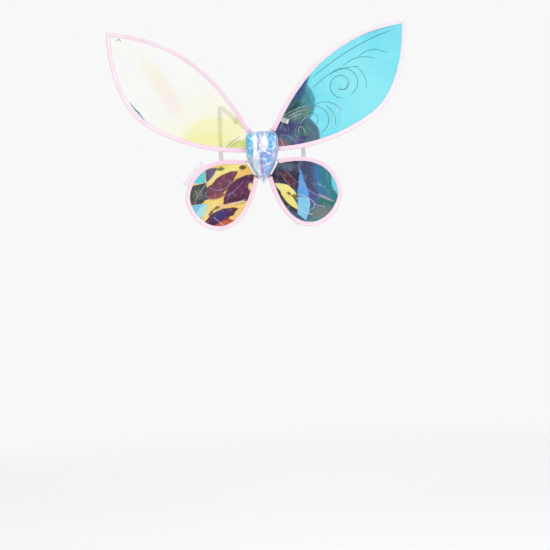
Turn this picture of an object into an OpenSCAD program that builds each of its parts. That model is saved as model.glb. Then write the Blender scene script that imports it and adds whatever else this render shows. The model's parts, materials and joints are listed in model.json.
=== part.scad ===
// Child's fairy wings: four wire-edged film wings hinged on a small hub, worn with two elastic loops.
// Millimetres. X runs along the wingspan, Y points to the wearer, Z is up.
// The origin is the centre of the back pad's flat face, which rests on the wearer's back.
// Right-hand pieces are drawn once and mirrored for the left side.

/* [Wings] */
// Diameter of the edge wire
wire_d = 2; // [1.6:0.1:2]
// Thickness of the wing film
film_t = 0.3; // [0.2:0.05:0.35]
// Width of the folded binding tape, from its outer fold to its free edges
binding_w = 11.5; // [9:0.5:12]
// Thickness of the binding where it wraps the wire
binding_t = 3.2; // [3.2:0.1:3.4]
// Backward sweep of each wing at rest, in degrees
sweep = 6; // [0:1:8]

/* [Hub] */
// Thickness of the hub's base plate
base_t = 4.5; // [4.5:0.1:5]
// Thickness of the clamp plate over the wing hinges
clamp_t = 4; // [4:0.1:5]
// Outer diameter of the crimp sleeve that each wing turns on
sleeve_d = 3.2; // [3.1:0.1:3.6]
// Radial clearance of the sleeves in their grooves
sleeve_gap = 0.05; // [0.03:0.01:0.1]

/* [Back pad] */
// Width of the pad
pad_w = 48; // [40:1:50]
// Height of the pad
pad_h = 74; // [60:1:76]
// Thickness of the pad with its cover
pad_t = 6; // [5:0.5:8]

/* [Centre gem] */
// Depth of the padded gem, from its rim to its crown
gem_depth = 17; // [12:1:22]
// Thickness of the gem's cover
gem_wall = 0.8; // [0.6:0.1:1]

/* [Straps] */
// Width of the elastic
strap_w = 9.6; // [8:0.2:9.6]
// Thickness of the elastic
strap_t = 1.1; // [0.9:0.1:1.1]
// Width of the slider across the elastic
slider_w = 17; // [15:0.5:19]

/* [Hidden] */

// Depths along Y: the pad ends where the base starts, and the hinges lie in the split plane
hinge_y = -pad_t - base_t;
rim_y = hinge_y - clamp_t;

// Points of the wings' outlines in [x, z], and the place of each wing's two ends at the hub
upper_tip = [325, 278];
upper_belly = [255, 78];
upper_ends = [[23, 54], [36, 8]];
lower_crown = [74, -6.5];
lower_side = [170, -88];
lower_foot = [100, -159];
lower_ends = [[34, -10], [10, -49]];

// Each outline is a chain of cubic curves, from the hub round the wing and back to the hub.
// A curve leaves and arrives on a heading in degrees, anticlockwise from X, with a pull in millimetres.
UPPER_OUTLINE = [
    curve(upper_ends[0], 63, 130, upper_tip, 6, 162),
    curve(upper_tip, -90, 124, upper_belly, -143, 30),
    curve(upper_belly, -143, 20, upper_ends[1], 180, 120)
];
LOWER_OUTLINE = [
    curve(lower_ends[0], 12, 10, lower_crown, 0, 13),
    curve(lower_crown, 0, 78, lower_side, -90, 23),
    curve(lower_side, -90, 29, lower_foot, 180, 40),
    curve(lower_foot, 180, 64, lower_ends[1], 108, 22)
];
UPPER_STEPS = [24, 14, 14];
LOWER_STEPS = [3, 12, 9, 12];

// Each hinge line runs from its top end to its bottom end
UPPER_HINGE = [[21, 48], [34, 9]];
LOWER_HINGE = [[30, -12], [12.5, -45.5]];

// A sleeve stops short of the wire's bends, and the hub grips it a little inside its ends
sleeve_end = 8;
sleeve_show = 1;
wire_gap = 0.05;
// Every cut runs this far past the faces it cuts
cut = 1;
sleeve_len_upper = hinge_length(UPPER_HINGE) - 2 * sleeve_end;
sleeve_len_lower = hinge_length(LOWER_HINGE) - 2 * sleeve_end;

// The wire runs inside the fold; the film's edge stops just inside the wire
fold_wall = 0.45;
fold_room = 0.7;
wire_inset = fold_room + wire_d / 2;
film_inset = wire_inset + wire_d / 2 + 0.5;
// Binding section: rounded fold, full thickness up to the shoulder, thin free edges
fold_half = 0.9;
fold_run = 0.8;
shoulder = 3.4;
edge_wall = 0.45;
edge_gap = 0.05;
cavity_start = 0.55;
cavity_run = 1;
cavity_half = 0.6;
film_root_gap = 4;
wire_bend = 5;
wire_end_gap = 1;
wire_sides = 8;

// Hub plate: half height at the middle, waist, and the wall outside each sleeve
hub_top = 38;
hub_waist = 22;
hub_shoulder = 9;
hub_foot = 4;
groove_past = 4;
knuckle_wall = 1;
// The clamp closes on the base with this gap, half on each side of the hinge plane
split_gap = 0.04;
knuckle_out = sleeve_d / 2 + knuckle_wall;

// Screws through the clamp into the base
screw_spots = [[0, 30], [0, -29], [14, 1], [-14, 1]];
screw_r = 1.2;
screw_hole_r = 1.3;
screw_head_r = 2.2;
screw_head_t = 1.2;
screw_head_gap = 0.3;
screw_len = 6;
screw_room = 0.4;
recess_w = 0.6;
recess_t = 0.7;
recess_len = 1.4 * screw_head_r;

// Strap pins stand upright in the base, and the strap ends loop round them above and below it
pin_x = 6;
pin_y = -pad_t - base_t / 2;
pin_r = 1.25;
pin_bore_r = 1.27;
pin_half = 50.8;
pin_head_r = 2.1;
pin_head_t = 0.8;
anchor_z = 45;
loop_bore_r = 1.3;
loop_out_r = 2.5;

pad_r = 14;
pad_cover_t = 0.8;
pad_gap = 0.1;

// Half of the gem's outline in [x, z], from top centre clockwise to bottom centre
GEM_HALF = [
    [[0, 51], [24, 52], [33, 46], [34.5, 12]],
    [[34.5, 12], [36, -10], [22, -32], [15, -46]],
    [[15, -46], [11, -50], [5, -51], [0, -51]]
];
GEM_STEPS = [7, 7, 3];
gem_rings = 7;
gem_centre = [0, 4];
gem_half_w = 34.5;
// Powers that round the dome's shoulder and its rise
dome_round = 0.7;
dome_rise = 0.9;
padding_gap = 0.2;
tip_half = 9;
tip_top = -47;
tip_bottom = -61.5;
tip_t = 1.2;

// Route of the right-hand strap: a point and the direction that its outer face looks.
// It leaves the top pin, runs straight up the shoulder blade, over the shoulder,
// down the front and under the arm to the bottom pin.
STRAP_ROUTE = [
    [[8, -6.6, 45], [0, -1, 0]],
    [[27, -3, 56], [0.1, -1, 0]],
    [[75, 5, 101], [0.1, -1, 0.1]],
    [[86, 42, 114], [0.1, 0, 1]],
    [[90, 84, 84], [0, 1, 0.5]],
    [[91, 94, 34], [0, 1, 0]],
    [[90, 74, -18], [0, 0.7, -0.7]],
    [[82, 34, -44], [0.1, 0, -1]],
    [[54, 5, -51], [0.1, -0.8, -0.6]],
    [[27, -3, -49], [0, -1, 0]],
    [[8, -6.6, -45], [0, -1, 0]]
];
strap_straight = 1;
strap_steps = 5;
strap_pull = 18;

slider_len = 9;
slider_t = 3;
slider_bar = 2;
slider_rail = 1.6;
slot_gap = 0.35;

$fn = 48;

// ---- Curves ----

function bezier(c, t) =
    pow(1 - t, 3) * c[0] + 3 * pow(1 - t, 2) * t * c[1] + 3 * (1 - t) * t * t * c[2] + pow(t, 3) * c[3];

function bezier_dir(c, t) = unit(
    pow(1 - t, 2) * (c[1] - c[0]) + 2 * (1 - t) * t * (c[2] - c[1]) + t * t * (c[3] - c[2]));

function quad(a, b, c, t) = pow(1 - t, 2) * a + 2 * (1 - t) * t * b + t * t * c;

function unit(v) = v / norm(v);

// The side of a direction that lies inside an outline drawn clockwise
function inward(d) = [d[1], -d[0]];

// Inward vector at a corner between two edges, long enough to keep both insets parallel
function mitre(a, b) = (a + b) / (1 + a * b);

// Points of a curve chain, each with its inward vector
function heading(angle) = [cos(angle), sin(angle)];
function curve(start, leave, pull_out, end, arrive, pull_in) = [
    start, start + pull_out * heading(leave), end - pull_in * heading(arrive), end];
function stations(spans, steps) = concat(
    [for (i = [0:len(spans) - 1]) for (k = [0:steps[i] - 1])
        let (t = k / steps[i], n = inward(bezier_dir(spans[i], t)))
        [bezier(spans[i], t), k == 0 && i > 0 ? mitre(inward(bezier_dir(spans[i - 1], 1)), n) : n]],
    let (last = spans[len(spans) - 1])
    [[bezier(last, 1), inward(bezier_dir(last, 1))]]);

function inset(s, d) = s[0] + d * s[1];

// Points of a polyline, each with its inward vector
function along(pts) = let (n = len(pts) - 1) [
    for (i = [0:n])
        let (a = inward(unit(pts[max(i, 1)] - pts[max(i, 1) - 1])),
             b = inward(unit(pts[min(i, n - 1) + 1] - pts[min(i, n - 1)])))
        [pts[i], mitre(a, b)]
];

// ---- Hinges ----

function hinge_length(h) = norm(h[1] - h[0]);
function hinge_dir(h) = unit(h[1] - h[0]);
function hinge_point(h, t) = h[0] + t * hinge_dir(h);
function hinge_out(h) = -inward(hinge_dir(h));

// A point in [x, z] as a point in space
function at(p, y) = [p[0], y, p[1]];

// Turns a wing that lies flat in the hinge plane back by the sweep angle
module swept(h) {
    translate(at(h[0], hinge_y))
        rotate(a = sweep, v = at(hinge_dir(h), 0))
            translate(-at(h[0], hinge_y))
                children();
}

module left() {
    mirror([1, 0, 0]) children();
}

// A plate in the XZ plane from y down to y - t
module plate(y, t) {
    translate([0, y, 0]) rotate([90, 0, 0]) linear_extrude(t) children();
}

// A rod along a hinge line, centred on its middle
module hinge_rod(h, r, len) {
    mid = (h[0] + h[1]) / 2;
    turn = atan2(hinge_dir(h)[0], hinge_dir(h)[1]);
    translate(at(mid, hinge_y)) rotate([0, turn, 0]) cylinder(r = r, h = len, center = true);
}

// ---- Lofts ----

// Skin between rings of equal size. Open rings are strips, closed rings are tubes.
function skin(rings, sides) = [
    for (i = [0:rings - 2]) for (k = [0:sides - 1])
        let (a = i * sides + k, b = i * sides + (k + 1) % sides)
        each [[a, b, b + sides], [a, b + sides, a + sides]]
];

function reversed(faces) = [for (f = faces) [f[0], f[2], f[1]]];
function shifted(faces, by) = [for (f = faces) [f[0] + by, f[1] + by, f[2] + by]];

// Flat end of a convex ring, as a fan
function fan(first, sides, flip) = [
    for (k = [1:sides - 2])
        flip ? [first, first + k + 1, first + k] : [first, first + k, first + k + 1]
];

// End of a folded strip whose ring is an outer row and the inner row back again
function strip_end(first, sides, flip) = [
    for (k = [0:sides / 2 - 2])
        let (a = first + k, b = first + k + 1, c = first + sides - 2 - k, d = first + sides - 1 - k)
        each (flip ? [[a, c, b], [a, d, c]] : [[a, b, c], [a, c, d]])
];

// ---- Wing pieces, drawn flat in the hinge plane ----

module wing_wire(outline, steps, h) {
    edge = [for (s = stations(outline, steps)) inset(s, wire_inset)];
    mid = (h[0] + h[1]) / 2;
    top_in = hinge_point(h, wire_bend);
    bottom_in = hinge_point(h, hinge_length(h) - wire_bend);
    pts = concat(
        [mid - wire_end_gap / 2 * hinge_dir(h)],
        [for (t = [0:0.25:0.75]) quad(top_in, h[0], edge[0], t)],
        edge,
        [for (t = [0.25:0.25:1]) quad(edge[len(edge) - 1], h[1], bottom_in, t)],
        [mid + wire_end_gap / 2 * hinge_dir(h)]);
    path = along(pts);
    rings = len(path);
    polyhedron(
        points = [
            for (s = path) for (k = [0:wire_sides - 1])
                let (a = 360 * k / wire_sides, r = wire_d / 2)
                at(inset(s, r * cos(a)), hinge_y + r * sin(a))],
        faces = reversed(concat(
            skin(rings, wire_sides),
            fan(0, wire_sides, true),
            fan((rings - 1) * wire_sides, wire_sides, false))));
}

module wing_sleeve(h, len) {
    difference() {
        hinge_rod(h, sleeve_d / 2, len);
        hinge_rod(h, wire_d / 2 + wire_gap, len + cut);
    }
}

module wing_film(outline, steps, h) {
    strip = 2 * hinge_length(h);
    turn = atan2(hinge_dir(h)[1], hinge_dir(h)[0]);
    plate(hinge_y + film_t / 2, film_t)
        difference() {
            polygon([for (s = stations(outline, steps)) inset(s, film_inset)]);
            translate(h[0]) rotate(turn)
                translate([-strip / 2, film_root_gap - strip]) square([2 * strip, strip]);
        }
}

// Folded tape: thick round the wire, closing on the film at its free edges
module wing_binding(outline, steps) {
    half = binding_t / 2;
    cavity = half - fold_wall;
    edge_in = film_t / 2 + edge_gap;
    edge_out = edge_in + edge_wall;
    outer = [
        [binding_w, edge_out], [shoulder, half], [fold_run, half], [0, fold_half],
        [0, -fold_half], [fold_run, -half], [shoulder, -half], [binding_w, -edge_out]];
    inner = [
        [binding_w, -edge_in], [shoulder, -cavity], [cavity_run, -cavity], [cavity_start, -cavity_half],
        [cavity_start, cavity_half], [cavity_run, cavity], [shoulder, cavity], [binding_w, edge_in]];
    section = concat(outer, inner);
    path = stations(outline, steps);
    rings = len(path);
    sides = len(section);
    polyhedron(
        points = [for (s = path) for (p = section) at(inset(s, p[0]), hinge_y + p[1])],
        faces = reversed(concat(
            skin(rings, sides),
            strip_end(0, sides, true),
            strip_end((rings - 1) * sides, sides, false))));
}

// ---- Hub ----

module hub_outline() {
    upper_in = hinge_point(UPPER_HINGE, sleeve_end + sleeve_show) + knuckle_out * hinge_out(UPPER_HINGE);
    upper_low = hinge_point(UPPER_HINGE, sleeve_end + sleeve_len_upper - sleeve_show)
        + knuckle_out * hinge_out(UPPER_HINGE);
    lower_in = hinge_point(LOWER_HINGE, sleeve_end + sleeve_show) + knuckle_out * hinge_out(LOWER_HINGE);
    lower_low = hinge_point(LOWER_HINGE, sleeve_end + sleeve_len_lower - sleeve_show)
        + knuckle_out * hinge_out(LOWER_HINGE);
    side = [
        [hub_shoulder, hub_top],
        upper_in - hub_shoulder * hinge_out(UPPER_HINGE),
        upper_in,
        upper_low,
        [hub_waist, 0],
        lower_in,
        lower_low,
        lower_low - hub_shoulder * hinge_out(LOWER_HINGE),
        [hub_foot, -hub_top]];
    polygon(concat(side, [for (i = [len(side) - 1:-1:0]) [-side[i][0], side[i][1]]]));
}

module hinge_grooves() {
    for (m = [0, 1]) mirror([m, 0, 0]) {
        hinge_rod(UPPER_HINGE, sleeve_d / 2 + sleeve_gap, 2 * hub_top);
        hinge_rod(LOWER_HINGE, sleeve_d / 2 + sleeve_gap, hinge_length(LOWER_HINGE) + groove_past);
    }
}

module hub_base() {
    color("gainsboro") difference() {
        plate(-pad_t, base_t - split_gap / 2) hub_outline();
        hinge_grooves();
        for (x = [-pin_x, pin_x]) translate([x, pin_y, 0])
            cylinder(r = pin_bore_r, h = 2 * (hub_top + cut), center = true);
        for (p = screw_spots) translate(at(p, rim_y + screw_len + screw_room))
            rotate([90, 0, 0]) cylinder(r = screw_hole_r, h = screw_len);
    }
}

module hub_clamp() {
    color("gainsboro") difference() {
        plate(hinge_y - split_gap / 2, clamp_t - split_gap / 2) hub_outline();
        hinge_grooves();
        for (p = screw_spots) {
            translate(at(p, hinge_y + cut)) rotate([90, 0, 0])
                cylinder(r = screw_hole_r, h = clamp_t + 2 * cut);
            translate(at(p, rim_y + screw_head_t)) rotate([90, 0, 0])
                cylinder(r = screw_head_r + screw_head_gap, h = screw_head_t + cut);
        }
    }
}

module screw() {
    difference() {
        union() {
            cylinder(r = screw_head_r, h = screw_head_t);
            cylinder(r = screw_r, h = screw_len);
        }
        for (turn = [0, 90]) rotate(turn)
            translate([-recess_len / 2, -recess_w / 2, -cut])
                cube([recess_len, recess_w, recess_t + cut]);
    }
}

module hub_screws() {
    color("silver") for (p = screw_spots) translate(at(p, rim_y)) rotate([-90, 0, 0]) screw();
}

module strap_pin() {
    translate([pin_x, pin_y, 0]) {
        cylinder(r = pin_r, h = 2 * pin_half, center = true);
        for (m = [0, 1]) mirror([0, 0, m]) translate([0, 0, pin_half - pin_head_t])
            cylinder(r = pin_head_r, h = pin_head_t);
    }
}

// ---- Back pad ----

module rounded(w, h, r) {
    square([w - 2 * r, h], center = true);
    square([w, h - 2 * r], center = true);
    for (x = [-1, 1], z = [-1, 1]) translate([x * (w / 2 - r), z * (h / 2 - r)]) circle(r = r);
}

module back_pad() {
    trim = 2 * (pad_cover_t + pad_gap);
    color("white") plate(-pad_cover_t, pad_t - pad_cover_t)
        rounded(pad_w - trim, pad_h - trim, pad_r - trim / 2);
}

module pad_cover() {
    color("lavenderblush") difference() {
        plate(0, pad_t) rounded(pad_w, pad_h, pad_r);
        plate(-pad_cover_t, pad_t)
            rounded(pad_w - 2 * pad_cover_t, pad_h - 2 * pad_cover_t, pad_r - pad_cover_t);
    }
}

// ---- Centre gem ----

function gem_side() = [
    for (i = [0:len(GEM_HALF) - 1]) for (k = [0:GEM_STEPS[i] - 1]) bezier(GEM_HALF[i], k / GEM_STEPS[i])
];

// The whole outline, clockwise from top centre
function gem_outline() = let (half = gem_side(), n = len(half)) concat(
    half,
    [GEM_HALF[2][3]],
    [for (i = [n - 1:-1:1]) [-half[i][0], half[i][1]]]);

// Points of a dome over the outline, shrunk all round by gap, ring by ring from rim to crown
function dome(gap) = let (shrink = 1 - gap / gem_half_w) concat(
    [for (i = [0:gem_rings - 1]) let (a = 90 * i / gem_rings) for (p = gem_outline())
        at(gem_centre + shrink * pow(cos(a), dome_round) * (p - gem_centre),
           rim_y - (gem_depth - gap) * pow(sin(a), dome_rise))],
    [at(gem_centre, rim_y - gem_depth + gap)]);

// Crown of a dome: triangles from the last ring to the apex
function crown(first, n) = [for (k = [0:n - 1]) [first + k, first + (k + 1) % n, first + n]];

function dome_faces(n) = concat(skin(gem_rings, n), crown((gem_rings - 1) * n, n));

module gem_cover() {
    n = len(gem_outline());
    inner = gem_rings * n + 1;
    rim = [for (k = [0:n - 1]) let (b = (k + 1) % n) each [[k, inner + b, b], [k, inner + k, inner + b]]];
    color("lightskyblue") polyhedron(
        points = concat(dome(0), dome(gem_wall)),
        faces = concat(dome_faces(n), shifted(reversed(dome_faces(n)), inner), rim));
}

module gem_padding() {
    n = len(gem_outline());
    base = gem_rings * n + 1;
    color("white") polyhedron(
        points = concat(dome(gem_wall + padding_gap), [at(gem_centre, rim_y)]),
        faces = concat(dome_faces(n), [for (k = [0:n - 1]) [(k + 1) % n, k, base]]));
}

module gem_tip() {
    color("white") plate(rim_y + tip_t, tip_t)
        polygon([[-tip_half, tip_top], [tip_half, tip_top], [0, tip_bottom]]);
}

// ---- Straps ----

function strap_tangent(i) =
    i == strap_straight || i == strap_straight + 1
        ? STRAP_ROUTE[strap_straight + 1][0] - STRAP_ROUTE[strap_straight][0]
        : i == 0 ? [strap_pull, 0, 0]
        : i == len(STRAP_ROUTE) - 1 ? [-strap_pull, 0, 0]
        : (STRAP_ROUTE[i + 1][0] - STRAP_ROUTE[i - 1][0]) / 2;

// Length of the tangent at one end of a span: the straight stretch keeps its neighbours short
function span_tangent(i, span) =
    let (chord = norm(STRAP_ROUTE[span + 1][0] - STRAP_ROUTE[span][0]))
    chord * unit(strap_tangent(i));

function hermite(a, b, ta, tb, t) =
    (2 * t * t * t - 3 * t * t + 1) * a + (t * t * t - 2 * t * t + t) * ta
    + (3 * t * t - 2 * t * t * t) * b + (t * t * t - t * t) * tb;

function hermite_dir(a, b, ta, tb, t) = unit(
    (6 * t * t - 6 * t) * a + (3 * t * t - 4 * t + 1) * ta
    + (6 * t - 6 * t * t) * b + (3 * t * t - 2 * t) * tb);

// One ring of the strap: four corners round the route's point
function strap_ring(i, t) =
    let (a = STRAP_ROUTE[i], b = STRAP_ROUTE[i + 1], ta = span_tangent(i, i), tb = span_tangent(i + 1, i),
         p = hermite(a[0], b[0], ta, tb, t), d = hermite_dir(a[0], b[0], ta, tb, t),
         face = (1 - t) * a[1] + t * b[1],
         out = unit(face - (face * d) * d), across = cross(d, out))
    [for (c = [[-1, -1], [1, -1], [1, 1], [-1, 1]])
        p + c[0] * strap_w / 2 * across + c[1] * strap_t / 2 * out];

// The elastic without its end loops, on the right for side 1 and on the left for side -1
module strap_band(side) {
    spans = len(STRAP_ROUTE) - 1;
    rings = concat(
        [for (i = [0:spans - 1]) for (k = [0:strap_steps - 1]) strap_ring(i, k / strap_steps)],
        [strap_ring(spans - 1, 1)]);
    faces = concat(
        skin(len(rings), 4),
        fan(0, 4, true),
        fan((len(rings) - 1) * 4, 4, false));
    polyhedron(
        points = [for (r = rings) for (p = r) [side * p[0], p[1], p[2]]],
        faces = side > 0 ? faces : reversed(faces));
}

module strap(side) {
    color("white") difference() {
        union() {
            strap_band(side);
            for (z = [-anchor_z, anchor_z]) translate([side * pin_x, pin_y, z])
                cylinder(r = loop_out_r, h = strap_w, center = true);
        }
        for (z = [-anchor_z, anchor_z]) translate([side * pin_x, pin_y, z])
            cylinder(r = loop_bore_r, h = strap_w + 2 * cut, center = true);
    }
}

// Puts a piece drawn with X across, Y along and Z out of the elastic at the middle of the straight stretch
module on_strap() {
    a = STRAP_ROUTE[strap_straight];
    b = STRAP_ROUTE[strap_straight + 1];
    d = unit(b[0] - a[0]);
    face = (a[1] + b[1]) / 2;
    out = unit(face - (face * d) * d);
    across = cross(d, out);
    p = (a[0] + b[0]) / 2;
    multmatrix([
        [across[0], d[0], out[0], p[0]],
        [across[1], d[1], out[1], p[1]],
        [across[2], d[2], out[2], p[2]]]) children();
}

module slider() {
    slot_w = strap_w + 2 * slot_gap;
    slot_t = strap_t + 2 * slot_gap;
    window = (slider_len - slider_bar - 2 * slider_rail) / 2;
    on_strap() difference() {
        cube([slider_w, slider_len, slider_t], center = true);
        cube([slot_w, slider_len + 2 * cut, slot_t], center = true);
        for (y = [-1, 1]) translate([0, y * (slider_bar + window) / 2, slider_t / 2])
            cube([slot_w, window, slider_t], center = true);
    }
}

// ---- Named sub-parts of each wing and side ----

module upper_film() {
    swept(UPPER_HINGE) wing_film(UPPER_OUTLINE, UPPER_STEPS, UPPER_HINGE);
}

module lower_film() {
    swept(LOWER_HINGE) wing_film(LOWER_OUTLINE, LOWER_STEPS, LOWER_HINGE);
}

module wire_upper_right() {
    color("silver") swept(UPPER_HINGE) wing_wire(UPPER_OUTLINE, UPPER_STEPS, UPPER_HINGE);
}

module wire_lower_right() {
    color("silver") swept(LOWER_HINGE) wing_wire(LOWER_OUTLINE, LOWER_STEPS, LOWER_HINGE);
}

module sleeve_upper_right() {
    color("silver") wing_sleeve(UPPER_HINGE, sleeve_len_upper);
}

module sleeve_lower_right() {
    color("silver") wing_sleeve(LOWER_HINGE, sleeve_len_lower);
}

module film_upper_right() {
    color("cyan") upper_film();
}

module film_lower_right() {
    color("teal") lower_film();
}

module binding_upper_right() {
    color("pink") swept(UPPER_HINGE) wing_binding(UPPER_OUTLINE, UPPER_STEPS);
}

module binding_lower_right() {
    color("pink") swept(LOWER_HINGE) wing_binding(LOWER_OUTLINE, LOWER_STEPS);
}

module strap_right() { strap(1); }
module strap_left() { strap(-1); }
module slider_right() { color("ivory") slider(); }
module slider_left() { left() slider_right(); }
module strap_pin_right() { color("silver") strap_pin(); }
module strap_pin_left() { left() strap_pin_right(); }

module wire_upper_left() { left() wire_upper_right(); }
module wire_lower_left() { left() wire_lower_right(); }
module sleeve_upper_left() { left() sleeve_upper_right(); }
module sleeve_lower_left() { left() sleeve_lower_right(); }
module film_upper_left() { color("lemonchiffon") left() upper_film(); }
module film_lower_left() { color("khaki") left() lower_film(); }
module binding_upper_left() { left() binding_upper_right(); }
module binding_lower_left() { left() binding_lower_right(); }

hub_base();
hub_clamp();
hub_screws();
back_pad();
pad_cover();
gem_padding();
gem_cover();
gem_tip();
strap_pin_left();
strap_pin_right();
wire_upper_left();
wire_upper_right();
wire_lower_left();
wire_lower_right();
sleeve_upper_left();
sleeve_upper_right();
sleeve_lower_left();
sleeve_lower_right();
film_upper_left();
film_upper_right();
film_lower_left();
film_lower_right();
binding_upper_left();
binding_upper_right();
binding_lower_left();
binding_lower_right();
strap_left();
strap_right();
slider_left();
slider_right();
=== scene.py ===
import json
import math

import bmesh
import bpy
from mathutils import Matrix, Vector, noise


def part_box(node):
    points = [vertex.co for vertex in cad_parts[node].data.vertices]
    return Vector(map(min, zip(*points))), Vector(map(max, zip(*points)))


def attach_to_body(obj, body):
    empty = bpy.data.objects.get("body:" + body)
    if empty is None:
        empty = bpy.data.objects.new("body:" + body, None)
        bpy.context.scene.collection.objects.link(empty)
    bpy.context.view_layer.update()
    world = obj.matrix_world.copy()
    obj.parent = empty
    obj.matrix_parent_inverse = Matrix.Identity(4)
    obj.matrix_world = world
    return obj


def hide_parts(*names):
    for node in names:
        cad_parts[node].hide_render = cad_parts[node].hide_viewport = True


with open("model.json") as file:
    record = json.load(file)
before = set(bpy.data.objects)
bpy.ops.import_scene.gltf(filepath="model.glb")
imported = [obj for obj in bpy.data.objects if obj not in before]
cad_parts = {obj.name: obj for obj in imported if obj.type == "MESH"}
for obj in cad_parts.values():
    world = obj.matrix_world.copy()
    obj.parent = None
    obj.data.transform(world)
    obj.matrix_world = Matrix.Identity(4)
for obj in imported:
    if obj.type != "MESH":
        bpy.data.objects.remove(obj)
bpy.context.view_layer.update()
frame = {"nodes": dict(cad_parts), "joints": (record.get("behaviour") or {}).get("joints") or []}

# Millimetres, in the row frame: X along the wingspan, Y towards the wearer, Z up.
MM = 0.001
NODES = frame["nodes"]
JOINTS = {joint["name"]: joint for joint in frame["joints"]}
SIDES = (("left", -1), ("right", 1))
scene = bpy.context.scene


# ---- Places that the frame gives ----

def in_mm(place):
    """A place of the frame in millimetres, without its rounding error."""
    return [round(value / MM, 3) for value in place]


HINGE_Y = in_mm(JOINTS["wing_upper_right_flap"]["pos_m"])[1]
PIN = in_mm(JOINTS["strap_right_swing"]["pos_m"])
RIM_Y = in_mm(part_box("gem_cover")[1])[1]
PAD_LOW, PAD_HIGH = (in_mm(corner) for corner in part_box("pad_cover"))
PAD_W, PAD_T, PAD_H = (high - low for low, high in zip(PAD_LOW, PAD_HIGH))

# ---- The design's own numbers, as in part.scad ----

SWEEP = 6
UPPER_TIP = (325, 278)
UPPER_BELLY = (255, 78)
UPPER_ENDS = ((23, 54), (36, 8))
LOWER_CROWN = (74, -6.5)
LOWER_SIDE = (170, -88)
LOWER_FOOT = (100, -159)
LOWER_ENDS = ((34, -10), (10, -49))


def curve(start, leave, pull_out, end, arrive, pull_in):
    """A cubic that leaves and arrives on a heading in degrees, with a pull in millimetres."""
    a = math.radians(leave)
    b = math.radians(arrive)
    return [
        start, (start[0] + pull_out * math.cos(a), start[1] + pull_out * math.sin(a)),
        (end[0] - pull_in * math.cos(b), end[1] - pull_in * math.sin(b)), end]


UPPER = {
    "spans": [
        curve(UPPER_ENDS[0], 63, 130, UPPER_TIP, 6, 162),
        curve(UPPER_TIP, -90, 124, UPPER_BELLY, -143, 30),
        curve(UPPER_BELLY, -143, 20, UPPER_ENDS[1], 180, 120),
    ],
    "hinge": [(21, 48), (34, 9)],
}
LOWER = {
    "spans": [
        curve(LOWER_ENDS[0], 12, 10, LOWER_CROWN, 0, 13),
        curve(LOWER_CROWN, 0, 78, LOWER_SIDE, -90, 23),
        curve(LOWER_SIDE, -90, 29, LOWER_FOOT, 180, 40),
        curve(LOWER_FOOT, 180, 64, LOWER_ENDS[1], 108, 22),
    ],
    "hinge": [(30, -12), (12.5, -45.5)],
}
STRAP_ROUTE = [
    [(8, -6.6, 45), (0, -1, 0)],
    [(27, -3, 56), (0.1, -1, 0)],
    [(75, 5, 101), (0.1, -1, 0.1)],
    [(86, 42, 114), (0.1, 0, 1)],
    [(90, 84, 84), (0, 1, 0.5)],
    [(91, 94, 34), (0, 1, 0)],
    [(90, 74, -18), (0, 0.7, -0.7)],
    [(82, 34, -44), (0.1, 0, -1)],
    [(54, 5, -51), (0.1, -0.8, -0.6)],
    [(27, -3, -49), (0, -1, 0)],
    [(8, -6.6, -45), (0, -1, 0)],
]
STRAP_STRAIGHT = 1
STRAP_W = 9.6
STRAP_T = 1.1
ANCHOR_Z = 45
PAD_R = 14


# ---- Meshes ----

# Points nearer than this, in metres, are one
SAME = 0.000001


def linked(name, data):
    """A new object in the scene."""
    obj = bpy.data.objects.new(name, data)
    scene.collection.objects.link(obj)
    return obj


def mesh_piece(name, points, faces, material, smooth=True, recalc=True):
    """A mesh object from points in millimetres."""
    mesh = bpy.data.meshes.new(name)
    mesh.from_pydata([(x * MM, y * MM, z * MM) for x, y, z in points], [], faces)
    mesh.validate()
    work = bmesh.new()
    work.from_mesh(mesh)
    bmesh.ops.remove_doubles(work, verts=work.verts, dist=SAME)
    bmesh.ops.dissolve_degenerate(work, edges=work.edges, dist=SAME)
    if recalc:
        bmesh.ops.recalc_face_normals(work, faces=work.faces)
    work.to_mesh(mesh)
    work.free()
    for face in mesh.polygons:
        face.use_smooth = smooth
    mesh.materials.append(material)
    return linked(name, mesh)


def ring_faces(rings, sides, closed_ring=True, start=0):
    """Quads between rings of equal size."""
    last = sides if closed_ring else sides - 1
    faces = []
    for i in range(rings - 1):
        for k in range(last):
            a = start + i * sides + k
            b = start + i * sides + (k + 1) % sides
            faces.append((a, b, b + sides, a + sides))
    return faces


def wrapped_faces(rings, sides):
    """Quads between rings that come round to the first ring again."""
    last = (rings - 1) * sides
    return ring_faces(rings, sides) + [
        (last + k, last + (k + 1) % sides, (k + 1) % sides, k) for k in range(sides)]


def fan(start, sides, apex):
    """Triangles from a ring to one point."""
    return [(start + k, start + (k + 1) % sides, apex) for k in range(sides)]


def capped_faces(rings, sides):
    """Quads between rings, with the first and the last ring closed."""
    last = (rings - 1) * sides
    return ring_faces(rings, sides) + [
        tuple(range(sides)), tuple(reversed(range(last, last + sides)))]


def thin_faces(rings, sides):
    """Faces of a thin plate whose front and back are each a middle point with rings round it."""
    layer = 1 + rings * sides
    faces = []
    for start in (0, layer):
        faces += fan(start + 1, sides, start)
        faces += ring_faces(rings, sides, start=start + 1)
    rim = 1 + (rings - 1) * sides
    for k in range(sides):
        a = rim + k
        b = rim + (k + 1) % sides
        faces.append((a, b, layer + b, layer + a))
    return faces


def circle(centre, size, side, other, sides):
    """Points round a centre, in the plane of two directions."""
    angles = [2 * math.pi * k / sides for k in range(sides)]
    return [tuple(centre + size * (math.cos(a) * side + math.sin(a) * other)) for a in angles]


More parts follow.
